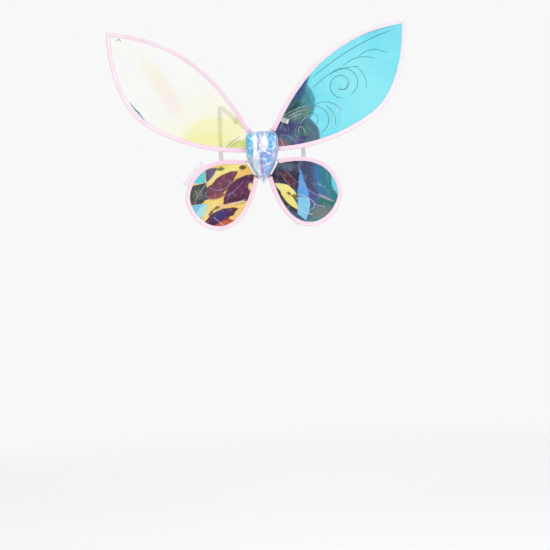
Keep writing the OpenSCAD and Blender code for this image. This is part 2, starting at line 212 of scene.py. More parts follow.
def loop_tube(centres, sizes, sides=8):
    """Points and faces of a closed round tube along a loop that lies across Y."""
    up = Vector((0, 1, 0))
    points = []
    for i, (centre, size) in enumerate(zip(centres, sizes)):
        across = (centres[(i + 1) % len(centres)] - centres[i - 1]).normalized().cross(up)
        points += circle(centre, size, across, up, sides)
    return points, wrapped_faces(len(centres), sides)


def tube(centres, radius, sides, taper=None):
    """Points and faces of a round tube along centres, with closed ends."""
    points = []
    count = len(centres)
    for i, centre in enumerate(centres):
        ahead = Vector(centres[min(i + 1, count - 1)])
        behind = Vector(centres[max(i - 1, 0)])
        along = (ahead - behind).normalized()
        side = along.cross(Vector((0, 1, 0)))
        if side.length < 0.1:
            side = along.cross(Vector((0, 0, 1)))
        side.normalize()
        other = along.cross(side)
        size = radius * (taper[i] if taper else 1)
        points += circle(Vector(centre), size, side, other, sides)
    return points, capped_faces(count, sides)


def joined(parts):
    """One list of points and one of faces from several."""
    points = []
    faces = []
    for some_points, some_faces in parts:
        base = len(points)
        points.extend(some_points)
        faces.extend(tuple(base + i for i in face) for face in some_faces)
    return points, faces


def smoothstep(low, high, value):
    """0 up to low and 1 from high on, with a smooth way between; low may be the larger."""
    t = min(1.0, max(0.0, (value - low) / (high - low)))
    return t * t * (3 - 2 * t)


def wobble(x, y, z):
    """Smooth noise from -1 to 1 that is the same each run."""
    return noise.noise(Vector((x, y, z)))


# ---- Curves ----

def cubic(c, t):
    """A point of the cubic with control points c."""
    s = 1 - t
    weights = (s ** 3, 3 * s * s * t, 3 * s * t * t, t ** 3)
    return Vector(sum(w * p[i] for w, p in zip(weights, c)) for i in range(2))


def cubic_dir(c, t):
    """The direction in which the cubic runs there."""
    s = 1 - t
    weights = (s * s, 2 * s * t, t * t)
    steps = [(c[i + 1][0] - c[i][0], c[i + 1][1] - c[i][1]) for i in range(3)]
    return Vector(sum(w * d[i] for w, d in zip(weights, steps)) for i in range(2)).normalized()


def lengths_along(points):
    """The length of the way from the first point to each one."""
    lengths = [0.0]
    for a, b in zip(points, points[1:]):
        lengths.append(lengths[-1] + (b - a).length)
    return lengths


def evenly(lengths, count):
    """Even places along the way, each as the point before it and its share of the step after that."""
    at = 0
    for k in range(count):
        goal = lengths[-1] * k / count
        while lengths[at + 1] < goal:
            at += 1
        yield at, (goal - lengths[at]) / (lengths[at + 1] - lengths[at])


def even_parameters(c, pitch):
    """Curve parameters that are evenly spaced along its length, without the last one."""
    fine = 160
    lengths = lengths_along([cubic(c, i / fine) for i in range(fine + 1)])
    count = max(2, round(lengths[-1] / pitch))
    return [(at + share) / fine for at, share in evenly(lengths, count)]


def inward(d):
    """Square to a direction, into the shape that it goes clockwise round."""
    return Vector((d[1], -d[0]))


def stations(spans, pitch, corner_run=15.0):
    """Point, inward vector and arc length all along an outline, with a mitre at each sharp corner."""
    found = []
    corners = []
    for i, span in enumerate(spans):
        for k, t in enumerate(even_parameters(span, pitch)):
            normal = inward(cubic_dir(span, t))
            if k == 0 and i > 0:
                before = inward(cubic_dir(spans[i - 1], 1))
                if before.dot(normal) < 0.95:
                    corners.append(len(found))
                normal = (before + normal) / (1 + before.dot(normal))
            found.append([cubic(span, t), normal])
    found.append([cubic(spans[-1], 1), inward(cubic_dir(spans[-1], 1))])
    lengths = lengths_along([point for point, _ in found])
    for corner in corners:
        for step in (-1, 1):
            far = corner
            while abs(lengths[far] - lengths[corner]) < corner_run:
                far += step
            for i in range(corner + step, far, step):
                share = (lengths[i] - lengths[corner]) / (lengths[far] - lengths[corner])
                found[i][0] = found[corner][0].lerp(found[far][0], share)
                found[i][1] = found[corner][1].lerp(found[far][1], share)
    return [(p, n, s) for (p, n), s in zip(found, lengths)]


def smooth_path(points, pitch):
    """Points close together on a smooth curve through the given ones."""
    ends = [points[0], *points, points[-1]]
    path = []
    for i in range(1, len(ends) - 2):
        a, b, c, d = (Vector(p) for p in ends[i - 1:i + 3])
        steps = max(2, round((c - b).length / pitch))
        for k in range(steps):
            t = k / steps
            path.append(0.5 * (2 * b + (c - a) * t + (2 * a - 5 * b + 4 * c - d) * t * t
                               + (3 * b - a - 3 * c + d) * t ** 3))
    path.append(Vector(points[-1]))
    return path


def placing(wing, side):
    """A function from a wing's flat plane to the row frame."""
    (x0, z0), (x1, z1) = wing["hinge"]
    turn = Matrix.Rotation(math.radians(SWEEP), 3, Vector((x1 - x0, 0, z1 - z0)).normalized())
    top = Vector((x0, HINGE_Y, z0))

    def place(x, z, depth):
        p = turn @ (Vector((x, HINGE_Y + depth, z)) - top) + top
        return (side * p.x, p.y, p.z)
    return place


# ---- Material nodes ----

WHITE = (1, 1, 1, 1)


def srgb(red, green, blue):
    """A colour as seen, as the linear one that shaders take."""
    def linear(v):
        v = v / 255
        return v / 12.92 if v <= 0.04045 else ((v + 0.055) / 1.055) ** 2.4
    return (linear(red), linear(green), linear(blue), 1)


def new_tree(name):
    material = bpy.data.materials.new(name)
    material.use_nodes = True
    material.node_tree.nodes.clear()
    return material, material.node_tree


def add(tree, kind, inputs=None, **settings):
    made = tree.nodes.new("ShaderNode" + kind)
    for key, value in settings.items():
        setattr(made, key, value)
    for key, value in (inputs or {}).items():
        if isinstance(value, bpy.types.NodeSocket):
            tree.links.new(value, made.inputs[key])
        else:
            made.inputs[key].default_value = value
    return made


def mixed(tree, factor, a, b):
    """Colour a where factor is 0 and b where it is 1."""
    return add(tree, "Mix", {0: factor, 6: a, 7: b}, data_type="RGBA").outputs[2]


def maths(tree, operation, a, b=0.0):
    return add(tree, "Math", {0: a, 1: b}, operation=operation).outputs[0]


def vectors(tree, operation, a, b):
    return add(tree, "VectorMath", {0: a, 1: b}, operation=operation).outputs[0]


def length_of(tree, vector):
    return add(tree, "VectorMath", {0: vector}, operation="LENGTH").outputs["Value"]


def ranged(tree, value, low, high, to_low=0.0, to_high=1.0):
    return add(tree, "MapRange", {
        "Value": value, "From Min": low, "From Max": high, "To Min": to_low, "To Max": to_high,
    }, interpolation_type="SMOOTHSTEP").outputs[0]


def place_mm(tree, flat=False):
    """Position on the piece in millimetres; flat drops the depth."""
    where = add(tree, "TexCoord").outputs["Object"]
    scale = (1 / MM, 0 if flat else 1 / MM, 1 / MM)
    return vectors(tree, "MULTIPLY", where, scale)


def surface_way(tree):
    """The X, Y and Z of the way that the surface faces."""
    return add(tree, "SeparateXYZ", {0: add(tree, "TexCoord").outputs["Normal"]}).outputs


def grain_place(tree, where, size, stretch):
    """The position in features of about size millimetres."""
    scale = tuple(s / size for s in stretch)
    return vectors(tree, "MULTIPLY", where, scale)


def grain(tree, where, size, detail=3.0, stretch=(1, 1, 1), kind="Fac"):
    """Noise with features of about size millimetres, from 0 to 1, or coloured noise."""
    scaled = grain_place(tree, where, size, stretch)
    return add(tree, "TexNoise", {"Vector": scaled, "Scale": 1.0, "Detail": detail}).outputs[kind]


def warped(tree, where, size, amount):
    """The position moved about by noise, for an edge that isn't ruled."""
    colour = grain(tree, where, size, 2.0, kind="Color")
    centred = vectors(tree, "SUBTRACT", colour, (0.5, 0.5, 0.5))
    moved = vectors(tree, "MULTIPLY", centred, (amount, 0, amount))
    return vectors(tree, "ADD", where, moved)


def local_to(tree, where, centre, half, turn):
    """The position as seen from a turned shape, in shares of its half sizes."""
    return add(tree, "Mapping", {
        "Vector": where,
        "Location": (centre[0], 0, centre[1]),
        "Rotation": (0, -math.radians(turn), 0),
        "Scale": (half[0], 1, half[1]),
    }, vector_type="TEXTURE").outputs[0]


def oval(tree, where, shape, edge):
    """1 inside an oval and 0 outside it, over a soft edge given as a share of its size."""
    reach = length_of(tree, local_to(tree, where, *shape))
    return ranged(tree, reach, 1 - edge, 1 + edge, 1.0, 0.0)


def leaf(tree, where, shape, edge):
    """1 inside a leaf with two pointed ends, which a fourth value of its shape bends."""
    centre, half, turn, bend = (*shape, 0.0)[:4]
    parts = add(tree, "SeparateXYZ", {0: local_to(tree, where, centre, half, turn)}).outputs
    along = maths(tree, "MULTIPLY", parts[0], parts[0])
    across = maths(tree, "ADD", maths(tree, "MULTIPLY", along, bend), parts[2])
    reach = maths(tree, "ADD", along, maths(tree, "ABSOLUTE", across))
    return ranged(tree, reach, 1 - edge, 1 + edge, 1.0, 0.0)


def plate(tree, where, corners, edge):
    """1 inside a convex shape whose corners go clockwise, with an edge in millimetres."""
    mask = 1.0
    for (x0, z0), (x1, z1) in zip(corners, corners[1:] + corners[:1]):
        normal = inward(Vector((x1 - x0, z1 - z0)).normalized())
        reach = add(tree, "VectorMath", {0: where, 1: (normal.x, 0, normal.y)}, operation="DOT_PRODUCT")
        line = normal.x * x0 + normal.y * z0
        inside = ranged(tree, reach.outputs["Value"], line - edge, line + edge)
        mask = maths(tree, "MULTIPLY", mask, inside)
    return mask


MASKS = {"oval": oval, "leaf": leaf, "plate": plate}


def painted(tree, where, ground, patches):
    """Patches of colour laid over a ground colour."""
    colour = ground
    for kind, shape, tint, edge in patches:
        colour = mixed(tree, MASKS[kind](tree, where, shape, edge), colour, srgb(*tint))
    return colour


def bumped(tree, height, distance, strength=1.0):
    return add(tree, "Bump", {
        "Height": height, "Distance": distance * MM, "Strength": strength,
    }).outputs[0]


def tinted(tree, tone, value, low, high, most, tint):
    """The tone, drawn towards a tint by up to most as value goes from low to high."""
    return mixed(tree, ranged(tree, value, low, high, 0.0, most), tone, tint)


def toned(name, size, pale, deep, band=(0.3, 0.7), detail=2.0, stretch=(1, 1, 1)):
    """A new material, its tree, the place on the piece, and a noise with a tone that drifts with it."""
    material, tree = new_tree(name)
    where = place_mm(tree)
    drift = grain(tree, where, size, detail, stretch)
    tone = mixed(tree, ranged(tree, drift, *band), srgb(*pale), srgb(*deep))
    return material, tree, where, drift, tone


def shaders_mixed(tree, share, a, b):
    """Shader a where share is 0 and b where it is 1."""
    return add(tree, "MixShader", {0: share, 1: a.outputs[0], 2: b.outputs[0]})


def finished(material, shader):
    """Gives the material its shader."""
    add(material.node_tree, "OutputMaterial", {"Surface": shader.outputs[0]})
    return material


def principled(tree, **values):
    """A principled shader whose inputs are named in small letters."""
    names = {key.replace("_", " ").title().replace("Ior", "IOR"): value for key, value in values.items()}
    return add(tree, "BsdfPrincipled", names)


# ---- Films ----

def film_material(name):
    """Iridescent film: tinted see-through, under a thin gloss with its own body of colour."""
    ground, body, haze = FILM_TONES[name]
    material, tree = new_tree(name)
    where = place_mm(tree, flat=True)
    moved = warped(tree, where, 17, 6)
    cloud = grain(tree, where, 45, 2.0)
    base = mixed(tree, ranged(tree, cloud, 0.35, 0.7), srgb(*ground[0]), srgb(*ground[1]))
    colour = painted(tree, moved, base, FILM_PATCHES[name])
    smoke = grain(tree, moved, 9, 4.0, (1, 1, 0.6))
    colour = tinted(tree, colour, smoke, 0.48, 0.72, 0.16, srgb(*haze))
    streaks = grain(tree, moved, 3.4, 3.0, (0.25, 1, 1))
    colour = tinted(tree, colour, streaks, 0.6, 0.78, 0.24, WHITE)
    crease = grain(tree, moved, 14, 4.0)
    rough = ranged(tree, crease, 0.3, 0.7, 0.08, 0.24)
    bump = bumped(tree, crease, 0.35)
    solid = principled(
        tree, base_color=colour, roughness=rough, normal=bump, ior=1.5,
        coat_weight=0.6, coat_roughness=0.06, thin_film_thickness=420.0, thin_film_ior=1.33)
    tint = add(tree, "Gamma", {"Color": colour, "Gamma": 0.5}).outputs[0]
    clear = add(tree, "BsdfTransparent", {"Color": tint})
    return finished(material, shaders_mixed(tree, body, clear, solid))


# The two colours that its ground drifts between, how much of it isn't see-through, and the colour of its haze
FILM_TONES = {
    "film_upper_left": (((255, 255, 251), (254, 255, 254)), 0.16, (252, 253, 255)),
    "film_upper_right": (((146, 241, 252), (132, 235, 250)), 0.3, (214, 224, 236)),
    "film_lower_left": (((252, 226, 132), (248, 214, 116)), 0.5, (214, 214, 232)),
    "film_lower_right": (((74, 112, 138), (82, 102, 142)), 0.5, (214, 224, 236)),
}
# Each patch: a mask, its shape (centre, half sizes, turn in degrees and a leaf's bend, if any, or corners),
# a colour as seen, and the softness of its edge
FILM_PATCHES = {
    "film_upper_left": [
        ("oval", ((-100, 60), (125, 75), 20), (255, 255, 236), 0.8),
        ("oval", ((-215, 170), (15, 50), 35), (254, 249, 232), 0.9),
        ("oval", ((-190, 125), (15, 35), 30), (254, 246, 238), 0.9),
        ("oval", ((-105, 50), (65, 35), 10), (253, 252, 204), 0.2),
        ("leaf", ((-120, 38), (55, 14), 5), (252, 250, 182), 0.7),
        ("oval", ((-45, 25), (30, 10), 0), (226, 232, 140), 0.6),
        ("leaf", ((-260, 100), (35, 1.6), -52), (112, 206, 220), 0.4),
        ("leaf", ((-266, 108), (22, 1), -52), (64, 116, 128), 0.4),
    ],
    "film_upper_right": [
        ("oval", ((230, 120), (60, 90), 30), (160, 245, 254), 0.9),
        ("plate", [(-20, 60), (-20, 110), (60, 110), (80, 10), (60, -20), (-20, -20)], (70, 92, 128), 2.0),
        ("oval", ((66, 110), (54, 54), 0), (92, 178, 196), 0.05),
        ("oval", ((60, 106), (50, 50), 0), (80, 150, 160), 0.14),
        ("oval", ((80, 32), (47, 50), 0), (92, 128, 150), 0.05),
        ("leaf", ((75, 118), (60, 12), 55), (62, 98, 146), 0.4),
        ("leaf", ((65, 92), (35, 14), 50), (70, 108, 112), 0.6),
        ("leaf", ((88, 85), (30, 12), 30, 0.3), (112, 150, 146), 0.6),
        ("oval", ((55, 55), (30, 16), 10), (78, 80, 128), 0.5),
        ("leaf", ((42, 24), (26, 9), -20), (150, 112, 116), 0.5),
        ("leaf", ((95, 40), (24, 12), 70), (92, 134, 132), 0.5),
        ("leaf", ((80, 26), (26, 7), 25), (92, 88, 146), 0.5),
        ("plate", [(40, 83), (61, 74), (59, 64), (39, 73)], (238, 242, 226), 1.0),
    ],
    "film_lower_left": [
        ("leaf", ((-80, -35), (45, 12), 30, 0.2), (253, 240, 156), 0.3),
        ("leaf", ((-55, -50), (55, 10), 40), (252, 208, 118), 0.4),
        ("leaf", ((-115, -118), (30, 12), 60), (252, 232, 156), 0.5),
        ("plate", [(-125, -25), (-98, -22), (-106, -38), (-122, -55)], (114, 98, 138), 1.0),
        ("leaf", ((-92, -26), (10, 4), 10), (140, 138, 96), 0.3),
        ("leaf", ((-43, -24), (9, 5), 5), (118, 104, 68), 0.3),
        ("leaf", ((-92, -60), (48, 16), 40, 0.15), (132, 68, 98), 0.06),
        ("oval", ((-107, -71), (20, 14), 30), (132, 68, 98), 0.08),
        ("leaf", ((-104, -84), (22, 7), 10), (160, 88, 96), 0.4),
        ("leaf", ((-53, -73), (47, 22), 42, -0.1), (112, 46, 96), 0.05),
        ("leaf", ((-54, -93), (35, 10), 15), (92, 38, 76), 0.3),
        ("leaf", ((-92, -131), (44, 18), 20, -0.1), (98, 42, 80), 0.06),
        ("oval", ((-97, -126), (17, 9), 30), (76, 58, 138), 0.6),
        ("leaf", ((-86, -144), (24, 7), 10), (210, 106, 74), 0.3),
        ("leaf", ((-58, -124), (15, 7), 55), (253, 220, 144), 0.2),
        ("leaf", ((-66, -132), (14, 4), 10), (252, 216, 140), 0.2),
        ("leaf", ((-76, -104), (50, 3), 10, 0.3), (250, 208, 160), 0.3),
        ("leaf", ((-115, -119), (10, 3), 50), (138, 104, 66), 0.4),
        ("leaf", ((-103, -109), (8, 3), 25), (156, 118, 70), 0.4),
        ("plate", [(-175, -55), (-125, -25), (-125, -55)], (112, 220, 230), 0.8),
        ("plate", [(-180, -62), (-123, -55), (-121, -88), (-135, -100), (-180, -103)], (78, 82, 88), 1.0),
        ("oval", ((-143, -78), (12, 9), 20), (112, 110, 98), 0.6),
        ("plate", [(-180, -103), (-135, -100), (-124, -99), (-129, -114), (-138, -137), (-160, -140)],
         (142, 212, 242), 1.0),
        ("leaf", ((-137, -118), (20, 8), 60), (186, 240, 234), 0.4),
        ("oval", ((-28, -67), (5, 8), -10), (253, 226, 146), 0.3),
    ],
    "film_lower_right": [
        ("plate", [(10, -10), (78, -5), (77, -80), (50, -74), (15, -62)], (68, 56, 86), 3.0),
        ("oval", ((54, -27), (18, 9), -10), (92, 114, 138), 0.5),
        ("leaf", ((54, -53), (26, 8), -45), (104, 54, 76), 0.4),
        ("plate", [(80, -5), (112, -8), (118, -42), (110, -90), (95, -84)], (84, 88, 128), 4.0),
        ("leaf", ((122, -60), (44, 12), -80), (72, 130, 188), 0.6),
        ("leaf", ((142, -68), (50, 15), -78, 0.2), (58, 146, 156), 0.5),
        ("oval", ((110, -100), (18, 16), -20), (94, 104, 168), 0.6),
        ("leaf", ((134, -108), (24, 10), -15), (54, 136, 130), 0.5),
        ("oval", ((122, -130), (25, 14), 5), (130, 144, 146), 0.5),
        ("leaf", ((112, -146), (26, 7), 5), (98, 150, 146), 0.5),
        ("leaf", ((133, -99), (20, 2.6), -28), (184, 176, 194), 0.5),
        ("leaf", ((49, -104), (38, 8), -50, -0.3), (74, 66, 64), 0.12),
        ("leaf", ((50, -78), (30, 10), -35, 0.25), (253, 244, 160), 0.1),
        ("leaf", ((54, -98), (32, 8), -50), (252, 240, 148), 0.1),
        ("leaf", ((54, -85), (5, 4), -20), (160, 130, 62), 0.3),
        ("leaf", ((66, -92), (9, 4), -10), (134, 112, 58), 0.3),
        ("plate", [(79, -30), (86, -50), (96, -84), (98, -125), (88, -146), (71, -131), (74, -76)],
         (112, 180, 240), 0.7),
        ("plate", [(73, -96), (98, -97), (97, -127), (87, -145), (71, -131)], (150, 216, 244), 0.8),
        ("leaf", ((155, -65), (40, 8), -80, -0.6), (130, 226, 236), 0.1),
    ],
}

FILM_T = 0.3
FILM_INSET = 4.5
FILM_ROOT_GAP = 4.0
FILM_SIDES = 220
FILM_RINGS = 26


class Film:
    """The shape of one wing's film in its flat plane, and how deep it lies at each point."""

    def __init__(self, wing, side, seed):
        self.side = side
        self.seed = seed
        self.place = placing(wing, side)
        top, bottom = (Vector(p) for p in wing["hinge"])
        out = -inward((bottom - top).normalized())
        self.root = (top + bottom) / 2
        edge = []
        for point, normal, _ in stations(wing["spans"], 4.0):
            p = point + FILM_INSET * normal
            short = FILM_ROOT_GAP - (p - top).dot(out)
            edge.append(p + max(0.0, short) * out)
        xs = [p.x for p in edge]
        zs = [p.y for p in edge]
        self.size = (max(xs) - min(xs), max(zs) - min(zs))
        self.pairs = list(zip(edge, edge[1:] + edge[:1]))
        self.area = abs(sum(a.x * b.y - b.x * a.y for a, b in self.pairs)) / 2
        self.centre = Vector((sum(xs) / len(xs), sum(zs) / len(zs)))
        self.reaches = [self.cast(2 * math.pi * k / FILM_SIDES) for k in range(FILM_SIDES)]

    def cast(self, angle):
        """Distance from the centre to the edge in one direction."""
        ray = Vector((math.cos(angle), math.sin(angle)))
        best = 0.0
        for a, b in self.pairs:
            a = a - self.centre
            d = b - self.centre - a
            cross = ray.x * d.y - ray.y * d.x
            if abs(cross) < 1e-9:
                continue
            t = (a.x * d.y - a.y * d.x) / cross
            u = (a.x * ray.y - a.y * ray.x) / cross
            if t > 0 and -1e-6 <= u <= 1 + 1e-6:
                best = max(best, t)
        return best

    def slack(self, x, z):
        """0 at the binding, where the film is held, and 1 well inside it."""
        off = Vector((x, z)) - self.centre
        turn = (math.atan2(off.y, off.x) / (2 * math.pi) % 1) * FILM_SIDES
        k = int(turn) % FILM_SIDES
        reach = self.reaches[k] + (turn - int(turn)) * (self.reaches[(k + 1) % FILM_SIDES] - self.reaches[k])
        return max(0.0, 1 - (off.length / reach) ** 3)

    def depth(self, x, z):
        """Billow, long folds that fan out from the root, and small ripples."""
        off = Vector((x, z)) - self.root
        turn = 13 * math.atan2(off.y, off.x) + 2 * wobble(x / 60, z / 60, self.seed)
        folds = 0.9 * math.exp(-off.length / 130) * math.sin(turn)
        waves = 1.5 * wobble(x / 55, z / 55, self.seed) + 0.6 * wobble(x / 21, z / 21, self.seed + 5)
        return self.slack(x, z) * (folds + waves - 1.6)


def make_film(name, film, material):
    """A closed sheet: the front, the back and the cut edge."""
    points = []
    for face in (-0.5, 0.5):
        x, z = film.centre
        points.append(film.place(x, z, film.depth(x, z) + face * FILM_T))
        for ring in range(1, FILM_RINGS + 1):
            share = (ring / FILM_RINGS) ** 0.85
            for k in range(FILM_SIDES):
                a = 2 * math.pi * k / FILM_SIDES
                x = film.centre.x + share * film.reaches[k] * math.cos(a)
                z = film.centre.y + share * film.reaches[k] * math.sin(a)
                points.append(film.place(x, z, film.depth(x, z) + face * FILM_T))
    return mesh_piece(name, points, thin_faces(FILM_RINGS, FILM_SIDES), material)


# ---- Printed swirls, as thin lines on the front of a film ----

def arc(centre, radius, start, sweep, end_radius=None, squash=1, tilt=0):
    """Points on a circular arc, a spiral where its radius changes, or an oval where it is squashed in X."""
    steps = max(4, round(abs(sweep) / 30))
    turn = Matrix.Rotation(math.radians(tilt), 2)
    points = []
    for k in range(steps + 1):
        share = k / steps
        a = math.radians(start + sweep * share)
        r = radius + ((end_radius or radius) - radius) * share
        p = turn @ Vector((squash * r * math.cos(a), r * math.sin(a))) + Vector(centre)
        points.append((p.x, p.y))
    return points


def bow(start, end, rise):
    """A shallow curve from start to end that stands off its chord by rise, to the left of its way."""
    chord = Vector(end) - Vector(start)
    left = rise * chord.normalized().orthogonal()
    points = []
    steps = 6
    for k in range(steps + 1):
        share = k / steps
        p = Vector(start) + share * chord + 4 * share * (1 - share) * left
        points.append((p.x, p.y))
    return points


PRINTS = {
    "film_upper_right": [
        ("dark", 0.9, bow((112, 170), (300, 262), 20)),
        ("dark", 1.1, bow((115, 160), (300, 257), 10)),
        ("dark", 1.0, bow((117, 138), (220, 180), 13)),
        ("dark", 0.9, bow((183, 182), (255, 195), 11)),
        ("dark", 0.9, bow((217, 200), (282, 205), 12)),
        ("dark", 1.0, arc((184, 145), 35, 145, -208, end_radius=28)),
        ("dark", 1.0, arc((180, 143), 6, -170, 450, end_radius=30)),
        ("dark", 0.8, arc((205, 140), 40, 75, -90, squash=0.7)),
        ("dark", 0.9, arc((140, 76), 32, 130, -110, squash=1.2)),
        ("dark", 1.0, arc((118, 70), 30, 95, -165)),
        ("dark", 0.9, arc((110, 71), 15, 115, -200)),
        ("dark", 0.9, arc((125, 66), 38, 65, -80)),
        ("dark", 0.8, arc((182, 146), 9, 10, -150, end_radius=16)),
        ("pale", 0.7, arc((170, 71), 23, 70, 360, squash=0.4, tilt=-10)),
        ("lilac", 0.7, arc((176, 74), 16, 80, 110, squash=0.4, tilt=-10)),
        ("pale", 0.6, bow((44, 76), (104, 102), 5)),
        ("pale", 0.6, bow((46, 72), (98, 93), 4)),
        ("pale", 0.5, bow((50, 68), (94, 86), 3)),
        ("pale", 0.6, bow((85, 63), (103, 78), 2)),
        ("pale", 0.6, arc((89, 44), 14, 170, -190, squash=0.5, tilt=15)),
        ("lilac", 0.7, bow((41, 42), (76, 22), 6)),
        ("pale", 0.7, bow((42, 33), (50, 18), -1)),
        ("lilac", 0.6, arc((92, 46), 18, 130, 150)),
        ("pale", 0.5, bow((42, 56), (52, 80), -1)),
    ],
    "film_upper_left": [
        ("dark", 0.9, bow((-80, 14), (-46, 43), 3)),
        ("dark", 0.7, bow((-72, 14), (-44, 34), 3)),
        ("dark", 1.2, bow((-303, 257), (-293, 256), 5)),
    ],
    "film_lower_left": [
        ("lilac", 0.7, bow((-124, -60), (-66, -50), -17)),
        ("lilac", 0.7, bow((-127, -76), (-113, -92), -4)),
        ("lilac", 0.6, bow((-88, -86), (-42, -50), -6)),
        ("pale", 0.6, bow((-140, -78), (-90, -30), 4)),
        ("pale", 0.7, bow((-155, -124), (-104, -94), 2)),
        ("pale", 0.8, bow((-74, -101), (-40, -94), -1)),
        ("pale", 0.6, bow((-112, -128), (-88, -148), -2)),
        ("lilac", 0.5, bow((-146, -88), (-124, -72), -8)),
        ("pale", 0.5, bow((-150, -70), (-150, -92), 6)),
        ("lilac", 0.5, bow((-40, -62), (-26, -70), -3)),
    ],
    "film_lower_right": [
        ("pale", 0.8, bow((73, -88), (109, -108), 3)),
        ("pale", 0.8, arc((100, -113), 9, 35, -125)),
        ("pale", 0.6, bow((73, -97), (94, -99), 2)),
        ("pale", 0.6, arc((88, -108), 11, 60, -130)),
        ("pale", 1.0, bow((72, -114), (104, -134), -4)),
        ("lilac", 0.7, bow((79, -58), (148, -105), -9)),
        ("lilac", 0.6, bow((36, -38), (59, -70), -1)),
        ("lilac", 0.5, bow((44, -32), (74, -64), 1)),
        ("pale", 0.5, bow((116, -66), (134, -76), -1)),
        ("pale", 0.5, bow((104, -108), (132, -120), -1)),
    ],
}
PRINT_COLOURS = {"dark": (8, 92, 112), "pale": (226, 242, 246), "lilac": (176, 164, 206)}
PRINT_GAP = 0.12
PRINT_T = 0.08


def print_material(kind):
    """Ink with a faint lighter speckle."""
    material, tree = new_tree("print_" + kind)
    where = place_mm(tree)
    speck = grain(tree, where, 2.5, 3.0)
    colour = srgb(*PRINT_COLOURS[kind])
    lighter = tuple(0.92 * c + 0.03 for c in colour[:3]) + (1,)
    tone = mixed(tree, ranged(tree, speck, 0.3, 0.75), colour, lighter)
    ink = principled(
        tree, base_color=tone, roughness=ranged(tree, speck, 0.3, 0.7, 0.25, 0.45),
        normal=bumped(tree, speck, 0.05))
    return finished(material, ink)


def make_print(name, film, lines, material):
    """Flat ribbons that taper at both ends and follow the film."""
    parts = []
    for width, route in lines:
        path = smooth_path([(film.side * x, z) for x, z in route], 2.0)
        rings = []
        for i, p in enumerate(path):
            d = (path[min(i + 1, len(path) - 1)] - path[max(i - 1, 0)]).normalized()
            n = inward(d)
            share = i / (len(path) - 1)
            half = 0.5 * width * (0.25 + 0.75 * smoothstep(0, 0.12, min(share, 1 - share)))
            base = film.depth(p.x, p.y) - FILM_T / 2 - PRINT_GAP
            a = p + half * n
            b = p - half * n
            rings.append([
                film.place(a.x, a.y, base), film.place(b.x, b.y, base),
                film.place(b.x, b.y, base - PRINT_T), film.place(a.x, a.y, base - PRINT_T)])
        points = [p for ring in rings for p in ring]
        parts.append((points, capped_faces(len(rings), 4)))
    return mesh_piece(name, *joined(parts), material, smooth=False)


# ---- Bindings: satin tape folded over the wire, puckered along its stitching ----

# Half of the tape's section: distance in from the fold, and height off the film
TAPE_OUT = [
    (9.5, 0.58), (9.2, 0.74), (8.7, 0.70), (8.1, 0.56), (7.5, 0.72), (6.7, 0.84), (5.8, 0.96),
    (5.0, 1.24), (4.0, 1.62), (3.0, 1.88), (2.0, 1.96), (1.1, 1.76), (0.4, 1.28), (0.0, 0.55)]
TAPE_IN = [
    (9.4, 0.26), (9.2, 0.26), (8.7, 0.26), (8.1, 0.26), (7.5, 0.28), (6.7, 0.30), (5.8, 0.42),
    (5.0, 0.80), (4.0, 1.20), (3.0, 1.42), (2.0, 1.46), (1.3, 1.30), (0.8, 0.95), (0.5, 0.40)]
TAPE_PITCH = 1.8
STITCH_IN = 8.1
STITCH_PITCH = 3.4
STITCH_LEN = 2.2
STITCH_R = 0.24
STITCH_LIFT = 0.64
STITCH_MARGIN = 5.0


def pucker(s, inset, face, seed):
    """How far the tape stands up off its smooth shape: small pleats between the stitches and the wire."""
    band = smoothstep(3.0, 5.6, inset) * (1 - smoothstep(7.0, 8.0, inset))
    rim = smoothstep(8.3, 9.2, inset)
    pleat = abs(wobble(s / 4.2, face * 7.0 + seed, 0.3 * inset))
    frill = abs(wobble(s / 3.1, face * 3.0 + seed + 20, 0.0))
    return 0.55 * band * pleat + 0.30 * rim * frill


def tape_edge(s, seed):
    """The free edge isn't cut quite straight."""
    return 0.45 * wobble(s / 14, seed + 40.0, 0.0)


def make_binding(name, wing, side, seed, material):
    """The folded tape all round a wing, from its section's outer side and back along its inner one."""
    place = placing(wing, side)
    path = stations(wing["spans"], TAPE_PITCH)
    count = len(TAPE_OUT)
    points = []
    for p, n, s in path:
        shift = tape_edge(s, seed)
        row = []
        for face in (-1, 1):
            half = [(d + shift * smoothstep(5, 9, d), face * (h + pucker(s, d, face, seed)))
                    for d, h in TAPE_OUT]
            row += half if face < 0 else half[::-1]
        for face in (1, -1):
            half = [(d + shift * smoothstep(5, 9, d), face * h) for d, h in TAPE_IN]
            row += half if face > 0 else half[::-1]
        for d, y in row:
            q = p + d * n
            points.append(place(q.x, q.y, y))
    sides = 4 * count
    faces = ring_faces(len(path), sides)
    last = (len(path) - 1) * sides
    for k in range(2 * count - 1):
        a, b, c, d = k, k + 1, sides - 2 - k, sides - 1 - k
        faces.append((a, b, c, d))
        faces.append((last + d, last + c, last + b, last + a))
    return mesh_piece(name, points, faces, material)


def tape_cut(wing):
    """Width and length of the tape before it was folded over the edge."""
    half = sum(math.dist(a, b) for a, b in zip(TAPE_OUT, TAPE_OUT[1:]))
    return 2 * half, stations(wing["spans"], TAPE_PITCH)[-1][2]


